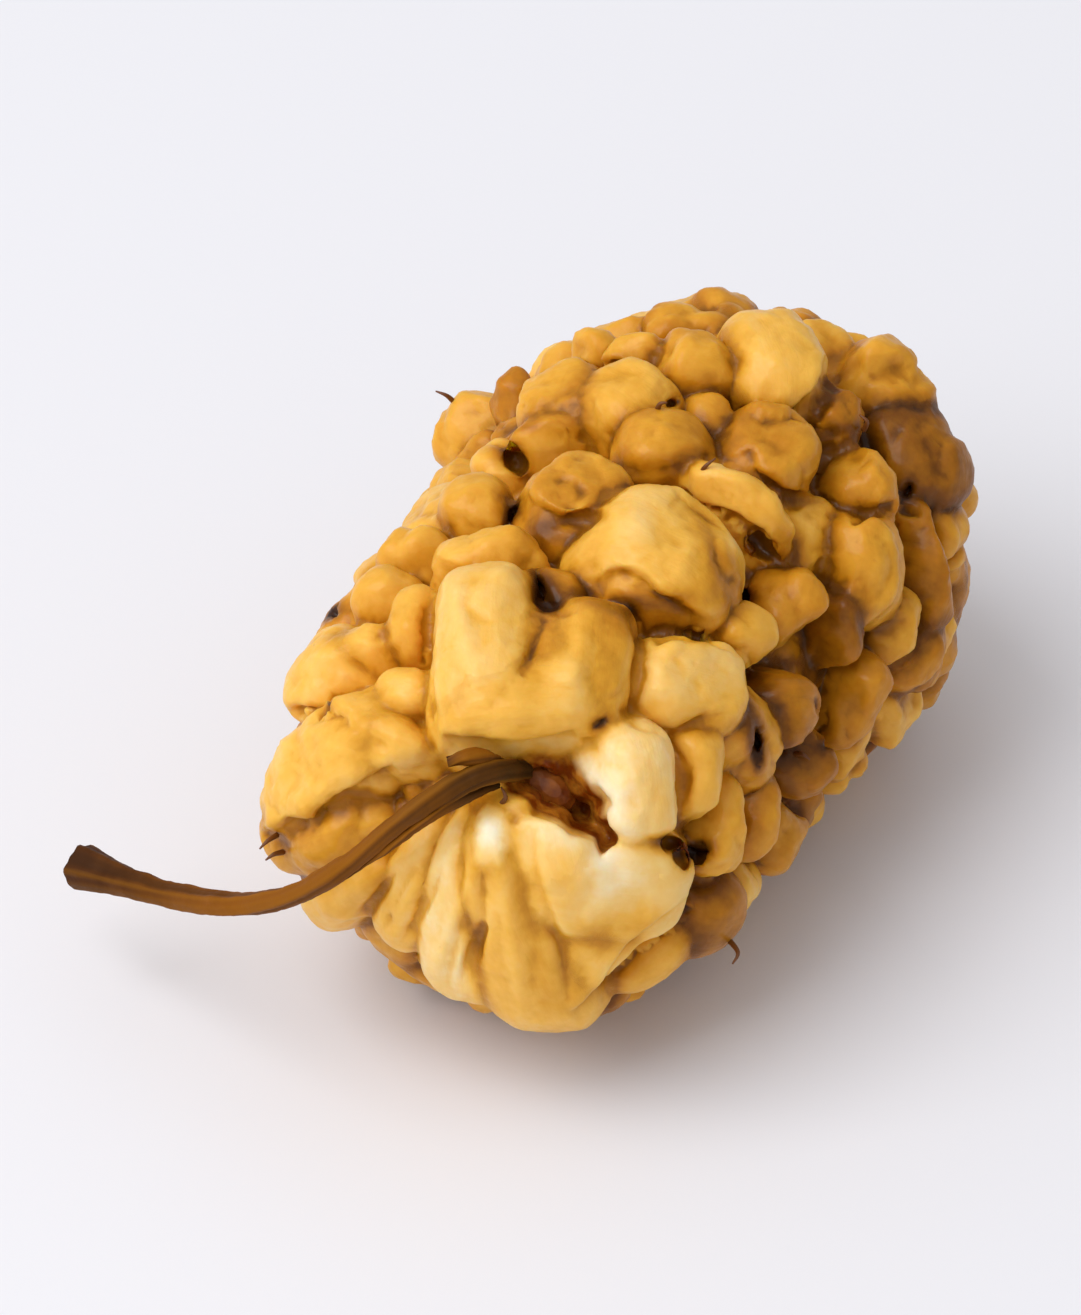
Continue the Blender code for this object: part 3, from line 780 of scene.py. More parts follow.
PRESSES_THAT_SHOW = (
    (GROOVE, ((0.15, 0.90), (0.32, 0.10), (0.25, -0.60), (-0.05, -1.00))),
    (GROOVE, ((-3.35, 1.30), (-3.42, 0.20), (-3.38, -0.90), (-3.25, -1.60))),
    (GROOVE, ((0.10, -1.10), (0.60, -1.25), (1.30, -1.15), (1.90, -0.90))),
    (GROOVE, ((0.80, -1.40), (1.05, -2.10), (0.95, -2.80))),
    (CRIMP, ((-3.50, -3.00), (-4.10, -3.90), (-4.70, -4.80))),
    (GROOVE, ((-2.95, -3.10), (-3.40, -4.20), (-3.95, -5.10))),
    (GROOVE, ((-2.50, -3.50), (-2.45, -4.40), (-2.60, -5.10), (-2.75, -6.20))),
    (CRIMP, ((-2.75, -4.40), (-3.00, -5.30), (-3.10, -6.00))),
    (GROOVE, ((-1.60, -2.90), (-1.50, -4.00), (-1.10, -5.00), (-0.95, -6.20))),
    (GROOVE, ((-2.45, -4.60), (-2.70, -5.30), (-2.95, -6.00))),
    (CRIMP, ((-4.00, -3.70), (-4.50, -4.40), (-5.10, -4.90))),
    (CRIMP, ((-3.60, -3.60), (-3.95, -4.30), (-4.35, -5.00))),
    (LIP, ((-0.95, -6.20), (-0.56, -5.84), (-0.10, -5.22), (0.15, -4.92), (0.65, -4.50), (1.16, -4.15))),
    (LIP, ((-6.50, -3.10), (-5.90, -2.88), (-5.30, -2.62), (-4.60, -2.15), (-4.00, -1.80))),
    (FOLD, ((-2.35, -3.10), (-2.65, -3.90), (-3.05, -4.80), (-3.35, -5.60))),
    (FOLD, ((-2.20, -3.20), (-2.05, -4.20), (-1.85, -5.40), (-1.75, -6.30))),
    (FOLD, ((-2.60, -3.00), (-3.30, -3.70), (-4.10, -4.50))),
    (FOLD, ((-2.80, -2.90), (-3.70, -3.40), (-4.70, -4.10), (-5.30, -4.50))),
    (GROOVE, ((-1.35, 0.75), (-1.55, 0.20), (-1.80, -0.30))),
    (LIP, ((-3.15, -1.32), (-2.30, -1.42), (-1.50, -1.42), (-0.85, -1.30))),
    (LIP, ((-0.55, 1.30), (-0.10, 1.52), (0.35, 1.42), (0.70, 1.10), (1.10, 0.88), (1.50, 0.58))),
    (FOLD, ((1.15, 2.20), (1.10, 1.85), (0.95, 1.50), (0.75, 1.12))),
    (GROOVE, ((1.10, 2.90), (1.52, 2.45), (1.60, 2.00), (1.68, 1.55), (1.95, 1.30))),
    (LIP, ((0.95, 3.00), (1.30, 2.82), (2.10, 2.42), (2.75, 1.90))),
    (LIP, ((-1.70, 2.92), (-1.05, 2.50), (-0.25, 2.62))),
    (LIP, ((2.20, 3.70), (2.55, 3.15), (3.10, 2.85), (3.60, 2.95))),
    (LIP, ((5.35, 2.45), (4.75, 2.55), (4.05, 2.30))),
    (LIP, ((2.10, 4.45), (2.80, 4.30), (3.40, 4.75), (3.60, 5.40))),
    (LIP, ((-6.10, -0.90), (-5.40, -0.85), (-4.70, -0.95))),
    (CRIMP, ((-0.10, 1.35), (0.60, 1.05), (1.30, 1.00))),
    (FOLD, ((-2.90, 1.30), (-2.75, 0.40), (-2.50, -0.50))),
    (FOLD, ((-0.85, 0.75), (-0.75, 0.20), (-0.95, -0.50))),
    (LIP, ((2.25, -0.12), (1.60, 0.18), (1.00, 0.26), (0.50, 0.18))),
    (FOLD, ((1.25, 3.10), (1.90, 3.25), (2.60, 2.90), (3.10, 2.10))),
    (CRIMP, ((-1.60, 2.50), (-1.20, 2.30), (-0.60, 2.50), (-0.30, 3.00), (-0.60, 3.50))),
    (CRIMP, ((-1.35, 2.80), (-1.05, 2.65), (-0.75, 2.90), (-0.90, 3.20))),
    (FOLD, ((-1.80, 4.55), (-1.10, 5.15), (0.00, 5.30), (0.65, 4.85))),
    (CRIMP, ((-1.50, 4.40), (-0.80, 4.85), (0.00, 4.95))),
    (CRIMP, ((4.40, 5.00), (5.00, 5.15), (5.45, 4.70))),
    (FOLD, ((4.25, 5.30), (5.15, 5.50), (5.80, 4.80))),
    (CRIMP, ((2.90, -0.70), (3.40, -0.75), (3.60, -1.20), (3.20, -1.45), (2.85, -1.20))),
    (FOLD, ((-4.70, -1.40), (-4.20, -1.18), (-3.70, -1.40), (-3.52, -1.90))),
)
sight = in_sight(corners, normals_of(mesh))
flat = (corners @ VIEW_AXES.T)[:, :2]
for kind, points in PRESSES_THAT_SHOW:
    path = smooth_path(points)
    low, high = path.min(0) - PRESS_REACH, path.max(0) + PRESS_REACH
    near = (sight > 0) & (flat > low).all(1) & (flat < high).all(1)
    away, along = from_path(path, flat[near])
    height = press_height(kind, away, along) * sight[near]
    corners[near] += normals_of(mesh)[near] * height[:, None]
    put_corners(mesh, corners)

# Stains, where the sugar went brown or the skin stayed pale, and the pale edge of the torn skin. Some rows
# are painted light instead of stains: painted glints, painted light on a lobe that faces down, and painted
# shade under lips and in a recess. A stain is a row of right, up, length, width, turn and how much darker it
# is.
STAINS_AND_PAINTED_LIGHT = (
    (-1.45, 0.45, 2.0, 0.60, 80, 0.25),
    (-0.25, -0.20, 1.3, 0.45, 75, 0.20),
    (-2.70, 0.60, 1.2, 0.50, 92, -0.12),
    (-5.40, -3.30, 2.2, 0.90, 20, 0.22),
    (-5.60, -2.00, 1.6, 0.60, 25, 0.04),
    (-1.55, -5.10, 1.8, 0.35, -75, 0.14),
    (-2.65, -5.00, 1.4, 0.30, -85, 0.30),
    (-4.40, -3.90, 1.6, 0.30, -125, 0.10),
    (0.30, -4.60, 1.2, 0.50, 20, 0.30),
    (-0.60, -4.80, 1.4, 0.50, -30, 0.22),
    (1.50, 2.10, 1.6, 0.50, -70, 0.28),
    # painted shade on the underside of the large plump lobe
    (0.75, 0.95, 1.8, 0.50, 5, 0.40),
    (0.40, 2.30, 1.0, 0.80, 0, -0.10),
    (-1.42, 2.23, 0.8, 0.60, 0, 0.40),
    (0.80, 3.90, 1.0, 0.60, 0, -0.12),
    (2.30, -1.40, 1.0, 1.60, 0, 0.25),
    (-3.80, -0.20, 0.5, 0.40, 0, 0.25),
    (1.30, -1.10, 1.4, 0.40, 5, 0.20),
    (-2.30, -3.10, 0.8, 0.60, 0, -0.10),
    (-0.42, -1.12, 0.45, 0.28, 30, 0.35),
    (0.45, 0.45, 1.6, 0.45, -5, 0.30),
    (-2.95, -0.90, 0.9, 0.50, 80, 0.12),
    # painted shade along the underside of the molar's lip
    (-1.50, -1.30, 2.2, 0.22, 2, 0.14),
    (1.60, 3.35, 0.5, 0.35, 40, -0.20),
    (-0.90, 3.10, 1.0, 0.70, 30, 0.10),
    (2.90, 2.00, 0.8, 0.35, -60, 0.30),
    (-5.00, -3.60, 1.6, 0.40, 22, 0.14),
    (0.60, -3.80, 1.0, 0.50, -10, 0.14),
    # painted highlight: the glint on the pale knob
    (-2.34, -3.03, 0.46, 0.32, 80, -0.42),
    # painted light on the cream lobe that faces down
    (-0.30, -3.75, 1.7, 0.70, -15, -0.20),
    (-0.20, -1.95, 1.3, 0.50, -75, -0.06),
    (0.55, -2.40, 1.2, 0.45, -75, 0.16),
    (1.20, -0.40, 1.2, 0.70, 0, -0.05),
    (-0.55, 1.05, 1.0, 0.40, -10, 0.35),
    # painted highlight: a glint
    (1.97, 2.06, 0.4, 0.26, -60, -0.34),
    (0.10, 0.90, 0.6, 0.40, 60, 0.30),
    # painted shade in the recess below the large plump lobe
    (0.85, 0.70, 1.3, 0.50, -22, 0.32),
    (-1.70, 4.08, 0.9, 0.20, 0, 0.30),
    (-2.20, 3.70, 0.6, 0.50, 0, 0.22),
    (3.65, 5.75, 0.8, 0.35, -60, 0.32),
    # painted highlight: a glint
    (3.42, 4.15, 0.35, 0.22, -45, -0.30),
    (0.35, 2.50, 1.0, 0.60, 40, -0.12),
    (-2.75, -5.20, 1.6, 0.36, -105, -0.16),
    (-2.00, -0.95, 1.6, 0.60, 0, 0.08),
)
TORN_EDGE = (0.22, 0.10, 0.16)  # how much paler, how far beyond the tear, and how wide
stain_and_painted_light = np.zeros(len(corners))
for right, up, length, width, turn, darker in STAINS_AND_PAINTED_LIGHT:
    angle = math.radians(turn)
    run = (flat - [right, up]) @ [math.cos(angle), math.sin(angle)]
    side = (flat - [right, up]) @ [-math.sin(angle), math.cos(angle)]
    share = np.exp(-((run * 2 / length) ** 2) - (side * 2 / width) ** 2)
    stain_and_painted_light += darker * share * (sight > 0)
paler, place, width = TORN_EDGE
beyond_tear = from_outline(TORN_OUTLINE, flat)
stain_and_painted_light -= paler * np.exp(-(((beyond_tear - place) / width) ** 2)) * (sight > 0)

# Which lobe each corner of the skin belongs to, and the seams where two lobes meet.
SEAM_WIDTH = 0.20
SEAM_REACH = 0.6
LOBES_APART = 7.3  # so that each lobe's streaks are its own
NO_FAMILY = -2
nearest = np.full(len(corners), FAR)
second = np.full(len(corners), FAR)
family = np.full(len(corners), NO_FAMILY)
tones = np.full(len(corners), sum(TONE_BY_RULE) / 2)
wrinkled = np.ones(len(corners))
lobe_places = np.zeros((len(corners), 3))
for i, lobe in enumerate(lobes):
    from_middle = corners - np.array(lobe["matrix"].translation)
    near = np.flatnonzero((from_middle**2).sum(1) < (lobe["half"].max() + SEAM_REACH) ** 2)
    unit = in_ball(lobe["matrix"], corners[near])
    away = (lobe_reach(lobe, unit) - 1) * lobe["half"].mean()
    first = away < nearest[near]
    other = family[near] != lobe["family"]
    runner_up = np.where(first, nearest[near], np.minimum(second[near], away))
    second[near] = np.where(other, runner_up, second[near])
    nearest[near] = np.where(first, away, nearest[near])
    family[near[first]] = lobe["family"]
    tones[near[first]] = lobe.get("tone", chance.uniform(*TONE_BY_RULE))
    wrinkled[near[first]] = lobe["wrinkled"]
    lobe_places[near[first]] = (unit * lobe["half"])[first] + i * LOBES_APART
seams = np.exp(-(((second - nearest) / SEAM_WIDTH) ** 2))


def smoothed(values, mesh, rounds):
    """Values at the corners, evened out with those of their neighbours."""
    edges = np.zeros(len(mesh.edges) * 2, np.int32)
    mesh.edges.foreach_get("vertices", edges)
    a, b = edges.reshape(-1, 2).T
    count = np.bincount(a, minlength=len(values)) + np.bincount(b, minlength=len(values))
    values = values.reshape(len(values), -1).astype(float)
    for _ in range(rounds):
        total = np.stack(
            [
                np.bincount(a, column[b], len(column)) + np.bincount(b, column[a], len(column))
                for column in values.T
            ],
            axis=1,
        )
        values = 0.5 * values + 0.5 * total / count[:, None]
    return values.squeeze()


def keep(mesh, name, values):
    """Keeps a number, or three, for each corner, for the material to read."""
    kind = "FLOAT" if values.ndim == 1 else "FLOAT_VECTOR"
    field = "value" if values.ndim == 1 else "vector"
    mesh.attributes.new(name, kind, "POINT").data.foreach_set(field, values.astype(np.float32).ravel())


def in_scene(name, data):
    made = bpy.data.objects.new(name, data)
    bpy.context.scene.collection.objects.link(made)
    return made


def place_in_world(mesh, name):
    """Turns millimetres round the fruit's middle into the frame's metres, and adds the object."""
    mesh.transform(Matrix.Diagonal((MM, MM, MM, 1)) @ Matrix.Translation(FRUIT_MIDDLE))
    return in_scene(name, mesh)


# Wrinkles of the dried skin: how wide they are and how high, grooves above 0 and ridges below it.
WRINKLES = ((1.25, -0.10), (0.70, 0.06), (0.38, -0.03), (0.20, 0.014))
WRINKLE_BEND = 0.25  # of their width
WRINKLE_ROUNDS = 4
BEND_DRAW = 60
height = 0
for draw, (width, size) in enumerate(WRINKLES):
    bent = corners + WRINKLE_BEND * width * noise(corners, width, draw + BEND_DRAW)[:, None]
    height = height + size * (2 * np.abs(noise(bent, width, draw)) - 0.5)
height *= smoothed(wrinkled, mesh, WRINKLE_ROUNDS)
corners += normals_of(mesh) * height[:, None]
corners[:, 2] = np.maximum(corners[:, 2], -FRUIT_MIDDLE.z)
put_corners(mesh, corners)

# What the flesh's colour follows: how hollow or ridged the skin is, which the material paints as shade in
# hollows and creases, and what was torn or pitted.
MOST_TRIANGLES = 195000
FINE_ROUNDS, FINE_HEIGHT = 6, 0.02
BROAD_ROUNDS, BROAD_HEIGHT = 50, 0.15
PIT_WALL = 0.25
PIT_STAIN = 0.40
PIT_STAIN_REACH = 0.7
TEAR_REACH = 2.6  # of torn flesh round the tear's middle
TEAR_SHARPNESS = 8
BARE_DEPTH = 0.05  # where the torn walls begin
BARE_SHARPNESS = 4
# The pits are dark with the flowers' dried remains, and painted shade makes each darker towards its bottom.
pit_remains_and_shade = np.zeros(len(corners))
for matrix in pits:
    unit = in_ball(matrix, corners)
    away = np.linalg.norm(unit, axis=1)
    wall = np.clip((1 + PIT_WALL - away) / PIT_WALL, 0, 1)
    pit_remains_and_shade = np.maximum(pit_remains_and_shade, wall * np.clip(0.5 - unit[:, 2], 0, 1))
    stain_and_painted_light += PIT_STAIN * np.exp(-((np.maximum(away - 1, 0) / PIT_STAIN_REACH) ** 2))
seen = corners @ VIEW_AXES.T
torn_share = np.clip(0.5 - from_outline(TORN_OUTLINE, seen[:, :2]) * TEAR_SHARPNESS, 0, 1)
torn_share *= np.clip((CORE_DEPTH - from_core(corners) - BARE_DEPTH) * BARE_SHARPNESS, 0, 1)
torn_share *= ((corners - np.array(torn_middle)) ** 2).sum(1) < TEAR_REACH**2
normals = normals_of(mesh)
fine = ((corners - smoothed(corners, mesh, FINE_ROUNDS)) * normals).sum(1)
broad = ((corners - smoothed(corners, mesh, BROAD_ROUNDS)) * normals).sum(1)
for name, values, rounds in (
    ("tone", tones, 3),
    ("seam", seams, 2),
    ("fine", fine / FINE_HEIGHT, 0),
    ("broad", broad / BROAD_HEIGHT, 0),
    ("stain_and_painted_light", stain_and_painted_light, 3),
    ("torn", torn_share, 0),
    ("pit", pit_remains_and_shade, 0),
    ("lobe_place", lobe_places, 0),
):
    keep(mesh, name, smoothed(values, mesh, rounds))
drupelets = place_in_world(mesh, "drupelets")
drupelets.modifiers.new("Fewer faces", "DECIMATE").ratio = MOST_TRIANGLES / (2 * len(quads))
evaluated = drupelets.evaluated_get(bpy.context.evaluated_depsgraph_get())
drupelets.data = mesh = bpy.data.meshes.new_from_object(evaluated)
drupelets.modifiers.clear()


def linear(value):
    return value / 12.92 if value <= 0.04045 else ((value + 0.055) / 1.055) ** 2.4


def colour(code):
    """An sRGB hex colour as the shader's linear one."""
    return [linear(int(code[i : i + 2], 16) / 255) for i in (0, 2, 4)] + [1]


def new_material(name):
    made = bpy.data.materials.new(name)
    made.use_nodes = True
    return made, made.node_tree, made.node_tree.nodes["Principled BSDF"]


def feed(tree, node, inputs):
    """Gives a node its inputs: each is a value, an output, or a node whose output in use is meant."""
    for name, value in dict(inputs).items():
        if isinstance(value, bpy.types.Node):
            value = next(output for output in value.outputs if output.enabled)
        if isinstance(value, bpy.types.NodeSocket):
            tree.links.new(value, node.inputs[name])
        else:
            node.inputs[name].default_value = value


def add(tree, kind, inputs=(), **settings):
    """Adds a node with its settings and links."""
    node = tree.nodes.new("ShaderNode" + kind)
    for name, value in settings.items():
        setattr(node, name, value)
    feed(tree, node, inputs)
    return node


# Dried mulberry flesh: sugary, waxy and half clear, so that light goes some way in, the folds glow amber and
# the crowns have a soft gleam. Each colour below is the skin's at so much darkness, which sums how dark it
# dried, its stains, and painted light: shade in hollows and creases, and highlights and shade at some places.
FLESH_COLOURS = (
    # The palest, nearly white, is reached at the painted glints.
    (-0.40, "FCEFD0"),
    (0.00, "F4CB7C"),
    (0.25, "EDB54C"),
    (0.45, "DA9C2C"),
    (0.65, "BC7A12"),
    (0.90, "7C4802"),
    (1.25, "381A01"),
)
TORN_COLOURS = ("7E3803", "C07A22")
PIT_REMAINS_AND_SHADE_COLOUR = "321502"
DRYNESS_AND_PAINTED_LIGHT_START = -0.455  # before its causes add to it
MOST_CREASE_SHADE = 0.40
STREAK = (1.2, 7.0, 1.2)  # how often fine streaks change in a millimetre along, across and up a lobe
dried_flesh, tree, shader = new_material("dried_mulberry_flesh")
place = add(tree, "TexCoord").outputs["Object"]
in_own_lobe = add(tree, "Attribute", attribute_name="lobe_place").outputs["Vector"]
trait = {
    name: add(tree, "Attribute", attribute_name=name).outputs["Fac"]
    for name in ("tone", "seam", "broad", "fine", "stain_and_painted_light", "torn", "pit")
}
mottle = add(tree, "TexNoise", {"Vector": place, "Scale": 1 / (1.3 * MM), "Detail": 2.0})
cloud = add(tree, "TexNoise", {"Vector": place, "Scale": 1 / (0.45 * MM), "Detail": 2.0})
speckle = add(tree, "TexNoise", {"Vector": place, "Scale": 1 / (0.16 * MM), "Detail": 3.0})
stretched = add(tree, "VectorMath", {0: in_own_lobe, 1: STREAK}, operation="MULTIPLY")
streak = add(tree, "TexNoise", {"Vector": stretched, "Scale": 1.0, "Detail": 3.0})
# Painted shade: the flesh is made darker where the skin is sunk or creased, and along the seams between
# lobes.
sunk = add(tree, "MapRange", {"Value": trait["broad"], "From Min": 0.3, "From Max": -1.4})
creased = add(tree, "MapRange", {"Value": trait["fine"], "From Min": 0.0, "From Max": -3.0})
painted_crease_shade = 0.0
for cause, weight in ((trait["seam"], 0.24), (sunk, 0.33), (creased, 0.38)):
    painted_crease_shade = add(tree, "Math", {0: cause, 1: weight, 2: painted_crease_shade}, operation="MULTIPLY_ADD")
painted_crease_shade = add(tree, "Math", {0: painted_crease_shade, 1: MOST_CREASE_SHADE}, operation="MINIMUM")
dryness_and_painted_light = DRYNESS_AND_PAINTED_LIGHT_START
for cause, weight in (
    (trait["tone"], 0.92),
    (mottle, 0.32),
    (cloud, 0.24),
    (speckle, 0.12),
    (streak, 0.10),
    (trait["stain_and_painted_light"], 1.0),
    (painted_crease_shade, 1.0),
):
    dryness_and_painted_light = add(tree, "Math", {0: cause, 1: weight, 2: dryness_and_painted_light}, operation="MULTIPLY_ADD")
flesh = colour(FLESH_COLOURS[0][1])
for (start, _), (end, code) in zip(FLESH_COLOURS, FLESH_COLOURS[1:]):
    share = add(tree, "MapRange", {"Value": dryness_and_painted_light, "From Min": start, "From Max": end})
    flesh = add(tree, "Mix", {0: share, 6: flesh, 7: colour(code)}, data_type="RGBA")
shred = add(tree, "TexNoise", {"Vector": place, "Scale": 1 / (0.35 * MM), "Detail": 3.0})
shred = add(tree, "MapRange", {"Value": shred, "From Min": 0.42, "From Max": 0.62})
dark, light = [colour(code) for code in TORN_COLOURS]
inside = add(tree, "Mix", {0: shred, 6: dark, 7: light}, data_type="RGBA")
flesh = add(tree, "Mix", {0: trait["torn"], 6: flesh, 7: inside}, data_type="RGBA")
# Pits: their dark remains, with painted shade deeper in.
flesh = add(tree, "Mix", {0: trait["pit"], 6: flesh, 7: colour(PIT_REMAINS_AND_SHADE_COLOUR)}, data_type="RGBA")
roughness = {"Value": speckle, "From Min": 0.3, "From Max": 0.7, "To Min": 0.34, "To Max": 0.5}
grain = add(tree, "TexNoise", {"Vector": place, "Scale": 1 / (0.12 * MM), "Detail": 4.0})
grained = add(tree, "Bump", {"Height": grain, "Strength": 0.4, "Distance": 0.02 * MM})
streaked = {"Height": streak, "Normal": grained, "Strength": 0.4, "Distance": 0.04 * MM}
flesh_look = {
    "Base Color": flesh,
    "Roughness": add(tree, "MapRange", roughness),
    "Normal": add(tree, "Bump", streaked),
    "Specular IOR Level": 0.14,
    "Coat Weight": 0.18,
    "Coat Roughness": 0.16,
    "Subsurface Weight": 0.35,
    "Subsurface Radius": (1.0, 0.42, 0.12),
    "Subsurface Scale": 0.6 * MM,
}
feed(tree, shader, flesh_look)
mesh.materials.append(dried_flesh)
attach(drupelets, "root")
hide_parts("fruit")

# The stalk: a thin stem that the fruit hung from, dried hard, ribbed and bent. Where it leaves the fruit it
# is grey-brown, with two thin strands beside it, and its far end is flared where it broke off.
STEM_ROUTE = (
    (-1.70, -1.95, 6.2, 0.34),
    (-2.15, -1.95, 7.1, 0.38),
    (-2.70, -2.10, 7.45, 0.40),
    (-3.3, -2.45, 7.45, 0.40),
    (-4.0, -2.95, 7.1, 0.36),
    (-4.8, -3.60, 6.4, 0.36),
    (-5.7, -4.10, 5.5, 0.42),
    (-6.7, -4.32, 4.4, 0.46),
    (-7.7, -4.22, 3.3, 0.46),
    (-8.7, -3.98, 2.3, 0.50),
    (-9.6, -3.7, 1.4, 0.78),
)
STRAND_ROUTES = (
    (
        (-2.20, -2.20, 6.7, 0.12),
        (-2.70, -2.38, 7.30, 0.20),
        (-3.25, -2.68, 7.35, 0.22),
        (-3.85, -3.10, 7.05, 0.18),
        (-4.40, -3.52, 6.60, 0.12),
        (-4.90, -3.86, 6.15, 0.05),
    ),
    (
        (-2.00, -1.92, 6.6, 0.18),
        (-2.35, -1.76, 7.2, 0.28),
        (-2.75, -1.72, 7.5, 0.30),
        (-3.05, -1.80, 7.5, 0.20),
    ),
)
STEM_SIDES = 40
STEM_STEPS = 14
STEM_RIBS = ((2, 0.09), (5, 0.06), (9, 0.035))  # how many run round it, and how high for its thickness
STEM_TWIST = 2.2
RIB_START = 1.3  # so that ribs of each kind start at a place of their own
STEM_BUMPS = ((0.025, 0.35), (0.012, 0.12))  # how high and how wide
STEM_DRAW = 21
ACROSS = (0.3, 0.2, 1.0)  # never along a stem's start


def ring_frames(path):
    """Two directions across the path at each of its places, that turn with it and don't twist."""
    run = np.gradient(path, axis=0)
    run /= np.linalg.norm(run, axis=1)[:, None]
    across = np.cross(run[0], ACROSS)
    frames = []
    for heading in run:
        across = across - heading * (across @ heading)
        across /= np.linalg.norm(across)
        frames.append((across, np.cross(heading, across)))
    return np.array(frames)


def tube_of(path, radii, name):
    """A closed tube along the path, where radii has a row of sides for each place."""
    frames = ring_frames(path)
    sides = radii.shape[1]
    angles = np.linspace(0, 2 * math.pi, sides, endpoint=False)
    ring = np.cos(angles)[:, None] * frames[:, :1] + np.sin(angles)[:, None] * frames[:, 1:]
    points = path[:, None] + ring * radii[..., None]
    corners = np.concatenate([points.reshape(-1, 3), path[:1], path[-1:]])
    rows, count = len(path), len(path) * sides
    here = np.arange(sides)
    after = (here + 1) % sides
    faces = []
    for row in range(rows - 1):
        low, high = row * sides, (row + 1) * sides
        faces += np.stack([low + here, low + after, high + after, high + here], axis=1).tolist()
    faces += np.stack([after, here, np.full(sides, count)], axis=1).tolist()
    last = (rows - 1) * sides
    faces += np.stack([last + here, last + after, np.full(sides, count + 1)], axis=1).tolist()
    made = bpy.data.meshes.new(name)
    made.from_pydata(corners.tolist(), [], faces)
    made.shade_smooth()
    return made, corners


def ribbed_tube(rows, name):
    """A tube along the route, with ribs that turn round it as they go."""
    route = smooth_path(rows, STEM_STEPS)
    along = np.linspace(0, 1, len(route))
    sides = np.linspace(0, 2 * math.pi, STEM_SIDES, endpoint=False)
    turns = sides + STEM_TWIST * along[:, None]
    ribs = 1 + sum(size * np.sin(number * turns + RIB_START * number) for number, size in STEM_RIBS)
    path = np.array([in_view(*row[:3]) for row in route])
    made, corners = tube_of(path, route[:, 3:4] / 2 * ribs, name)
    bumps = layered(corners, STEM_BUMPS, STEM_DRAW)
    put_corners(made, corners + normals_of(made) * bumps[:, None])
    keep(made, "along", np.concatenate([np.repeat(along, STEM_SIDES), [0, 1]]))
    keep(made, "rib", np.concatenate([ribs.ravel(), [1, 1]]))
    return place_in_world(made, name)


stalk = ribbed_tube(STEM_ROUTE, "stalk")
strands = [ribbed_tube(route, f"stalk_strand_{i}") for i, route in enumerate(STRAND_ROUTES)]

# Dry stalk skin: fibrous and dull, olive brown at the fruit, then golden brown, and dark at its far end. Each
# colour takes over between two places along it. The real fibres are about 0.02 mm wide, and are drawn at
# 0.08 mm so that they show.
STALK_ROOT_COLOUR = "3E2C10"
STALK_COLOURS = ((0.10, 0.20, "5A3406"), (0.30, 0.52, "834B04"), (0.78, 1.03, "482402"))
GROOVE_SHADE_COLOUR = "2C1704"
RIB_LIGHT_COLOUR = "A2680E"
dry_stalk, tree, shader = new_material("dry_stalk_skin")
place = add(tree, "TexCoord").outputs["Object"]
far = add(tree, "Attribute", attribute_name="along").outputs["Fac"]
rib = add(tree, "Attribute", attribute_name="rib").outputs["Fac"]
blotch = add(tree, "TexNoise", {"Vector": place, "Scale": 1 / (0.5 * MM), "Detail": 4.0})
far = add(tree, "Math", {0: blotch, 1: 0.16, 2: far}, operation="MULTIPLY_ADD")
skin = colour(STALK_ROOT_COLOUR)
for start, end, code in STALK_COLOURS:
    share = add(tree, "MapRange", {"Value": far, "From Min": start, "From Max": end})
    skin = add(tree, "Mix", {0: share, 6: skin, 7: colour(code)}, data_type="RGBA")
# Painted shade darkens the grooves between the ribs, and painted light makes the ribs' crests paler.
shade_between_ribs = add(tree, "MapRange", {"Value": rib, "From Min": 1.0, "From Max": 0.82, "To Max": 0.7})
skin = add(tree, "Mix", {0: shade_between_ribs, 6: skin, 7: colour(GROOVE_SHADE_COLOUR)}, data_type="RGBA")
light_on_ribs = add(tree, "MapRange", {"Value": rib, "From Min": 1.02, "From Max": 1.14, "To Max": 0.35})
skin = add(tree, "Mix", {0: light_on_ribs, 6: skin, 7: colour(RIB_LIGHT_COLOUR)}, data_type="RGBA")
roughness = {"Value": blotch, "From Min": 0.3, "From Max": 0.7, "To Min": 0.5, "To Max": 0.75}
rough = add(tree, "MapRange", roughness)
fibre = add(tree, "TexNoise", {"Vector": place, "Scale": 1 / (0.08 * MM), "Detail": 4.0})
bump = add(tree, "Bump", {"Height": fibre, "Strength": 0.4, "Distance": 0.02 * MM})
feed(tree, shader, {"Base Color": skin, "Roughness": rough, "Normal": bump, "Specular IOR Level": 0.12})
for thing in (stalk, *strands):
    thing.data.materials.append(dry_stalk)
    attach(thing, "root")
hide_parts("stem")

# The dried styles: short hairs of horny plant tissue that the flowers left on their lobes, and that grow out
# of the skin. Each is a row of right, up, and how far its bend and its tip are right, up and towards the eye.
STYLES_THAT_SHOW = (
    (1.85, -4.95, (0.16, -0.22, 0.20), (0.06, -0.42, 0.24)),
    (1.35, 3.20, (0.10, 0.16, 0.12), (0.28, 0.30, 0.14)),
    (-6.05, -3.10, (-0.16, -0.10, 0.10), (-0.30, -0.24, 0.10)),
    (-5.95, -3.40, (-0.16, -0.04, 0.10), (-0.30, -0.14, 0.08)),
    (-3.00, 4.60, (-0.14, 0.12, 0.12), (-0.34, 0.20, 0.12)),
    (0.60, 4.35, (0.06, 0.12, 0.10), (0.18, 0.14, 0.14)),
    (-2.15, -2.55, (0.10, 0.14, 0.14), (0.02, 0.32, 0.16)),
    (3.00, -1.70, (0.16, 0.00, 0.12), (0.30, -0.10, 0.10)),
    (4.30, 4.05, (0.05, 0.14, 0.12), (-0.08, 0.26, 0.12)),
)
STYLE_WIDTHS = (0.11, 0.08, 0.03)
STYLE_SIDES = 8
STYLE_ROOT = 0.1  # below the skin
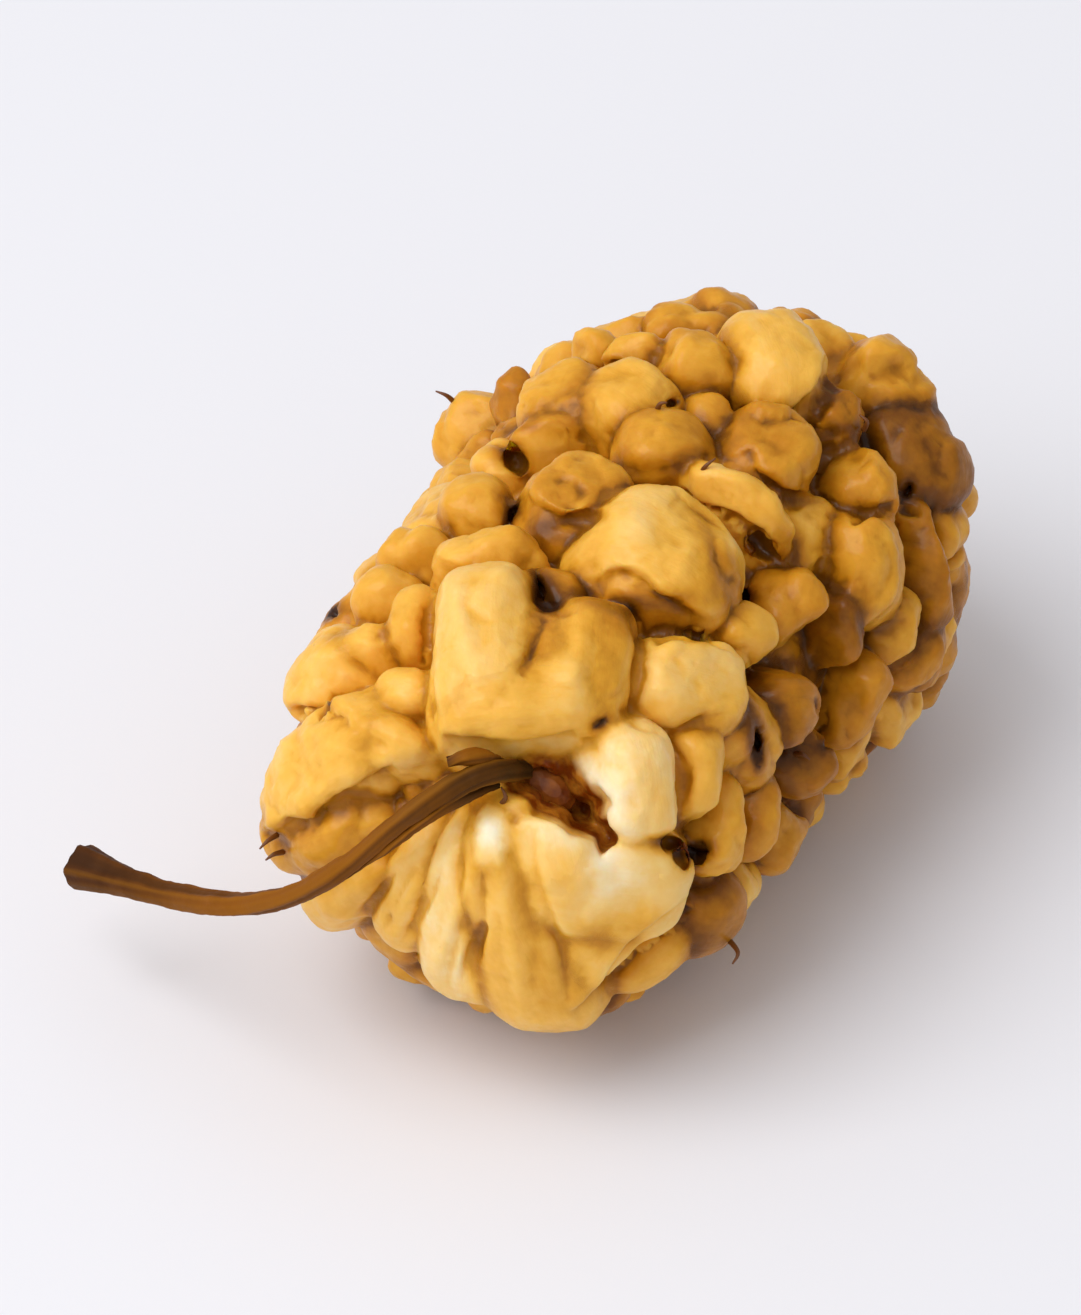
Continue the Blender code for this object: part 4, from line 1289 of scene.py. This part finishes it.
# Dried style: thin and horny, dark brown with a dull gleam.
dried_style, tree, shader = new_material("dried_style")
feed(tree, shader, {"Base Color": colour("6B3A08"), "Roughness": 0.5})
for number, (right, up, bend, tip) in enumerate(STYLES_THAT_SHOW):
    root = skin_seen_at(right, up)
    start = root - VIEW_TOWARD * STYLE_ROOT
    places = [start, root + in_view(*bend), root + in_view(*tip)]
    route = smooth_path([(*place, width) for place, width in zip(places, STYLE_WIDTHS)])
    radii = np.repeat(route[:, 3:4] / 2, STYLE_SIDES, axis=1)
    made, _ = tube_of(route[:, :3], radii, "style")
    made.materials.append(dried_style)
    style = place_in_world(made, f"style_{number}")
    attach(style, "root")

# The seed: one small hard seed that the torn skin bares, held in the flesh. Its coat is woody, brown, finely
# pitted and a little glossy. The solid seed keeps its shape, and only gets its coat here.
seed_coat, tree, shader = new_material("seed_coat")
place = add(tree, "TexCoord").outputs["Object"]
cloud = add(tree, "TexNoise", {"Vector": place, "Scale": 1 / (0.4 * MM), "Detail": 3.0})
share = add(tree, "MapRange", {"Value": cloud, "From Min": 0.35, "From Max": 0.65})
coat = add(tree, "Mix", {0: share, 6: colour("6A2C06"), 7: colour("B0661A")}, data_type="RGBA")
pitting = add(tree, "TexVoronoi", {"Vector": place, "Scale": 1 / (0.12 * MM)})
bump = add(tree, "Bump", {"Height": pitting, "Strength": 0.3, "Distance": 0.02 * MM})
feed(tree, shader, {"Base Color": coat, "Roughness": 0.42, "Normal": bump})
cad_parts["seed"].data.materials.clear()
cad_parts["seed"].data.materials.append(seed_coat)

# The surface that the berry lies on, and the soft light of a white tent round it. They aren't part of the
# berry. White paper is plain and matt, so that it only takes a soft shadow.
FLOOR_COLOUR = "E9E9EF"
FLOOR_HALF = 1.0  # in metres, as the lights are
floor_mesh = bpy.data.meshes.new("floor")
floor_corners = [(x * FLOOR_HALF, y * FLOOR_HALF, 0) for x, y in ((-1, -1), (1, -1), (1, 1), (-1, 1))]
floor_mesh.from_pydata(floor_corners, [], [range(4)])
floor = in_scene("floor", floor_mesh)
white_paper, tree, shader = new_material("white_paper")
feed(tree, shader, {"Base Color": colour(FLOOR_COLOUR), "Roughness": 0.8})
floor_mesh.materials.append(white_paper)

OPEN_SIDE = (-0.45, -0.58, 0.68)  # the tent is brightest there
world = bpy.data.worlds.new("white_tent")
world.use_nodes = True
tree = world.node_tree
heading = add(tree, "TexCoord").outputs["Generated"]
open_side = add(tree, "VectorMath", {0: heading, 1: OPEN_SIDE}, operation="DOT_PRODUCT")
brightness = {"Value": open_side.outputs["Value"], "From Min": -0.6, "To Min": 0.37, "To Max": 0.78}
strength = add(tree, "MapRange", brightness)
feed(tree, tree.nodes["Background"], {"Strength": strength, "Color": colour("FFFFFF")})
bpy.context.scene.world = world

SOFTBOX = (-0.080, -0.130, 0.22)
LIT_PLACE = (0, 0, 0.004)
softbox_data = bpy.data.lights.new("softbox", "AREA")
softbox_data.size = 0.21
softbox_data.energy = 0.47
softbox = in_scene("softbox", softbox_data)
softbox.location = SOFTBOX
softbox.rotation_euler = (Vector(LIT_PLACE) - Vector(SOFTBOX)).to_track_quat("-Z", "Y").to_euler()

# The camera looks at the stalk end, from a little to its right and from above, as the berry was seen. Its
# lens is long, so that near and far lobes show at one size.
LENS = 300
SENSOR = 36
SHOWN_HEIGHT = 23.5
SHOWN_LEFT = 1.45  # of the fruit's middle, so that the stalk is in the picture
camera_data = bpy.data.cameras.new("camera")
camera_data.lens = LENS
camera_data.sensor_width = SENSOR
camera_data.clip_start = 0.01
camera_data.clip_end = 10
camera = in_scene("camera", camera_data)
aim = in_view(-SHOWN_LEFT, 0, 0) + FRUIT_MIDDLE
distance = SHOWN_HEIGHT * LENS / SENSOR
turned = Matrix((VIEW_RIGHT, VIEW_UP, VIEW_TOWARD)).transposed().to_4x4()
camera.matrix_world = Matrix.Translation((aim + VIEW_TOWARD * distance) * MM) @ turned
bpy.context.scene.camera = camera
bpy.context.scene.view_settings.view_transform = "Standard"
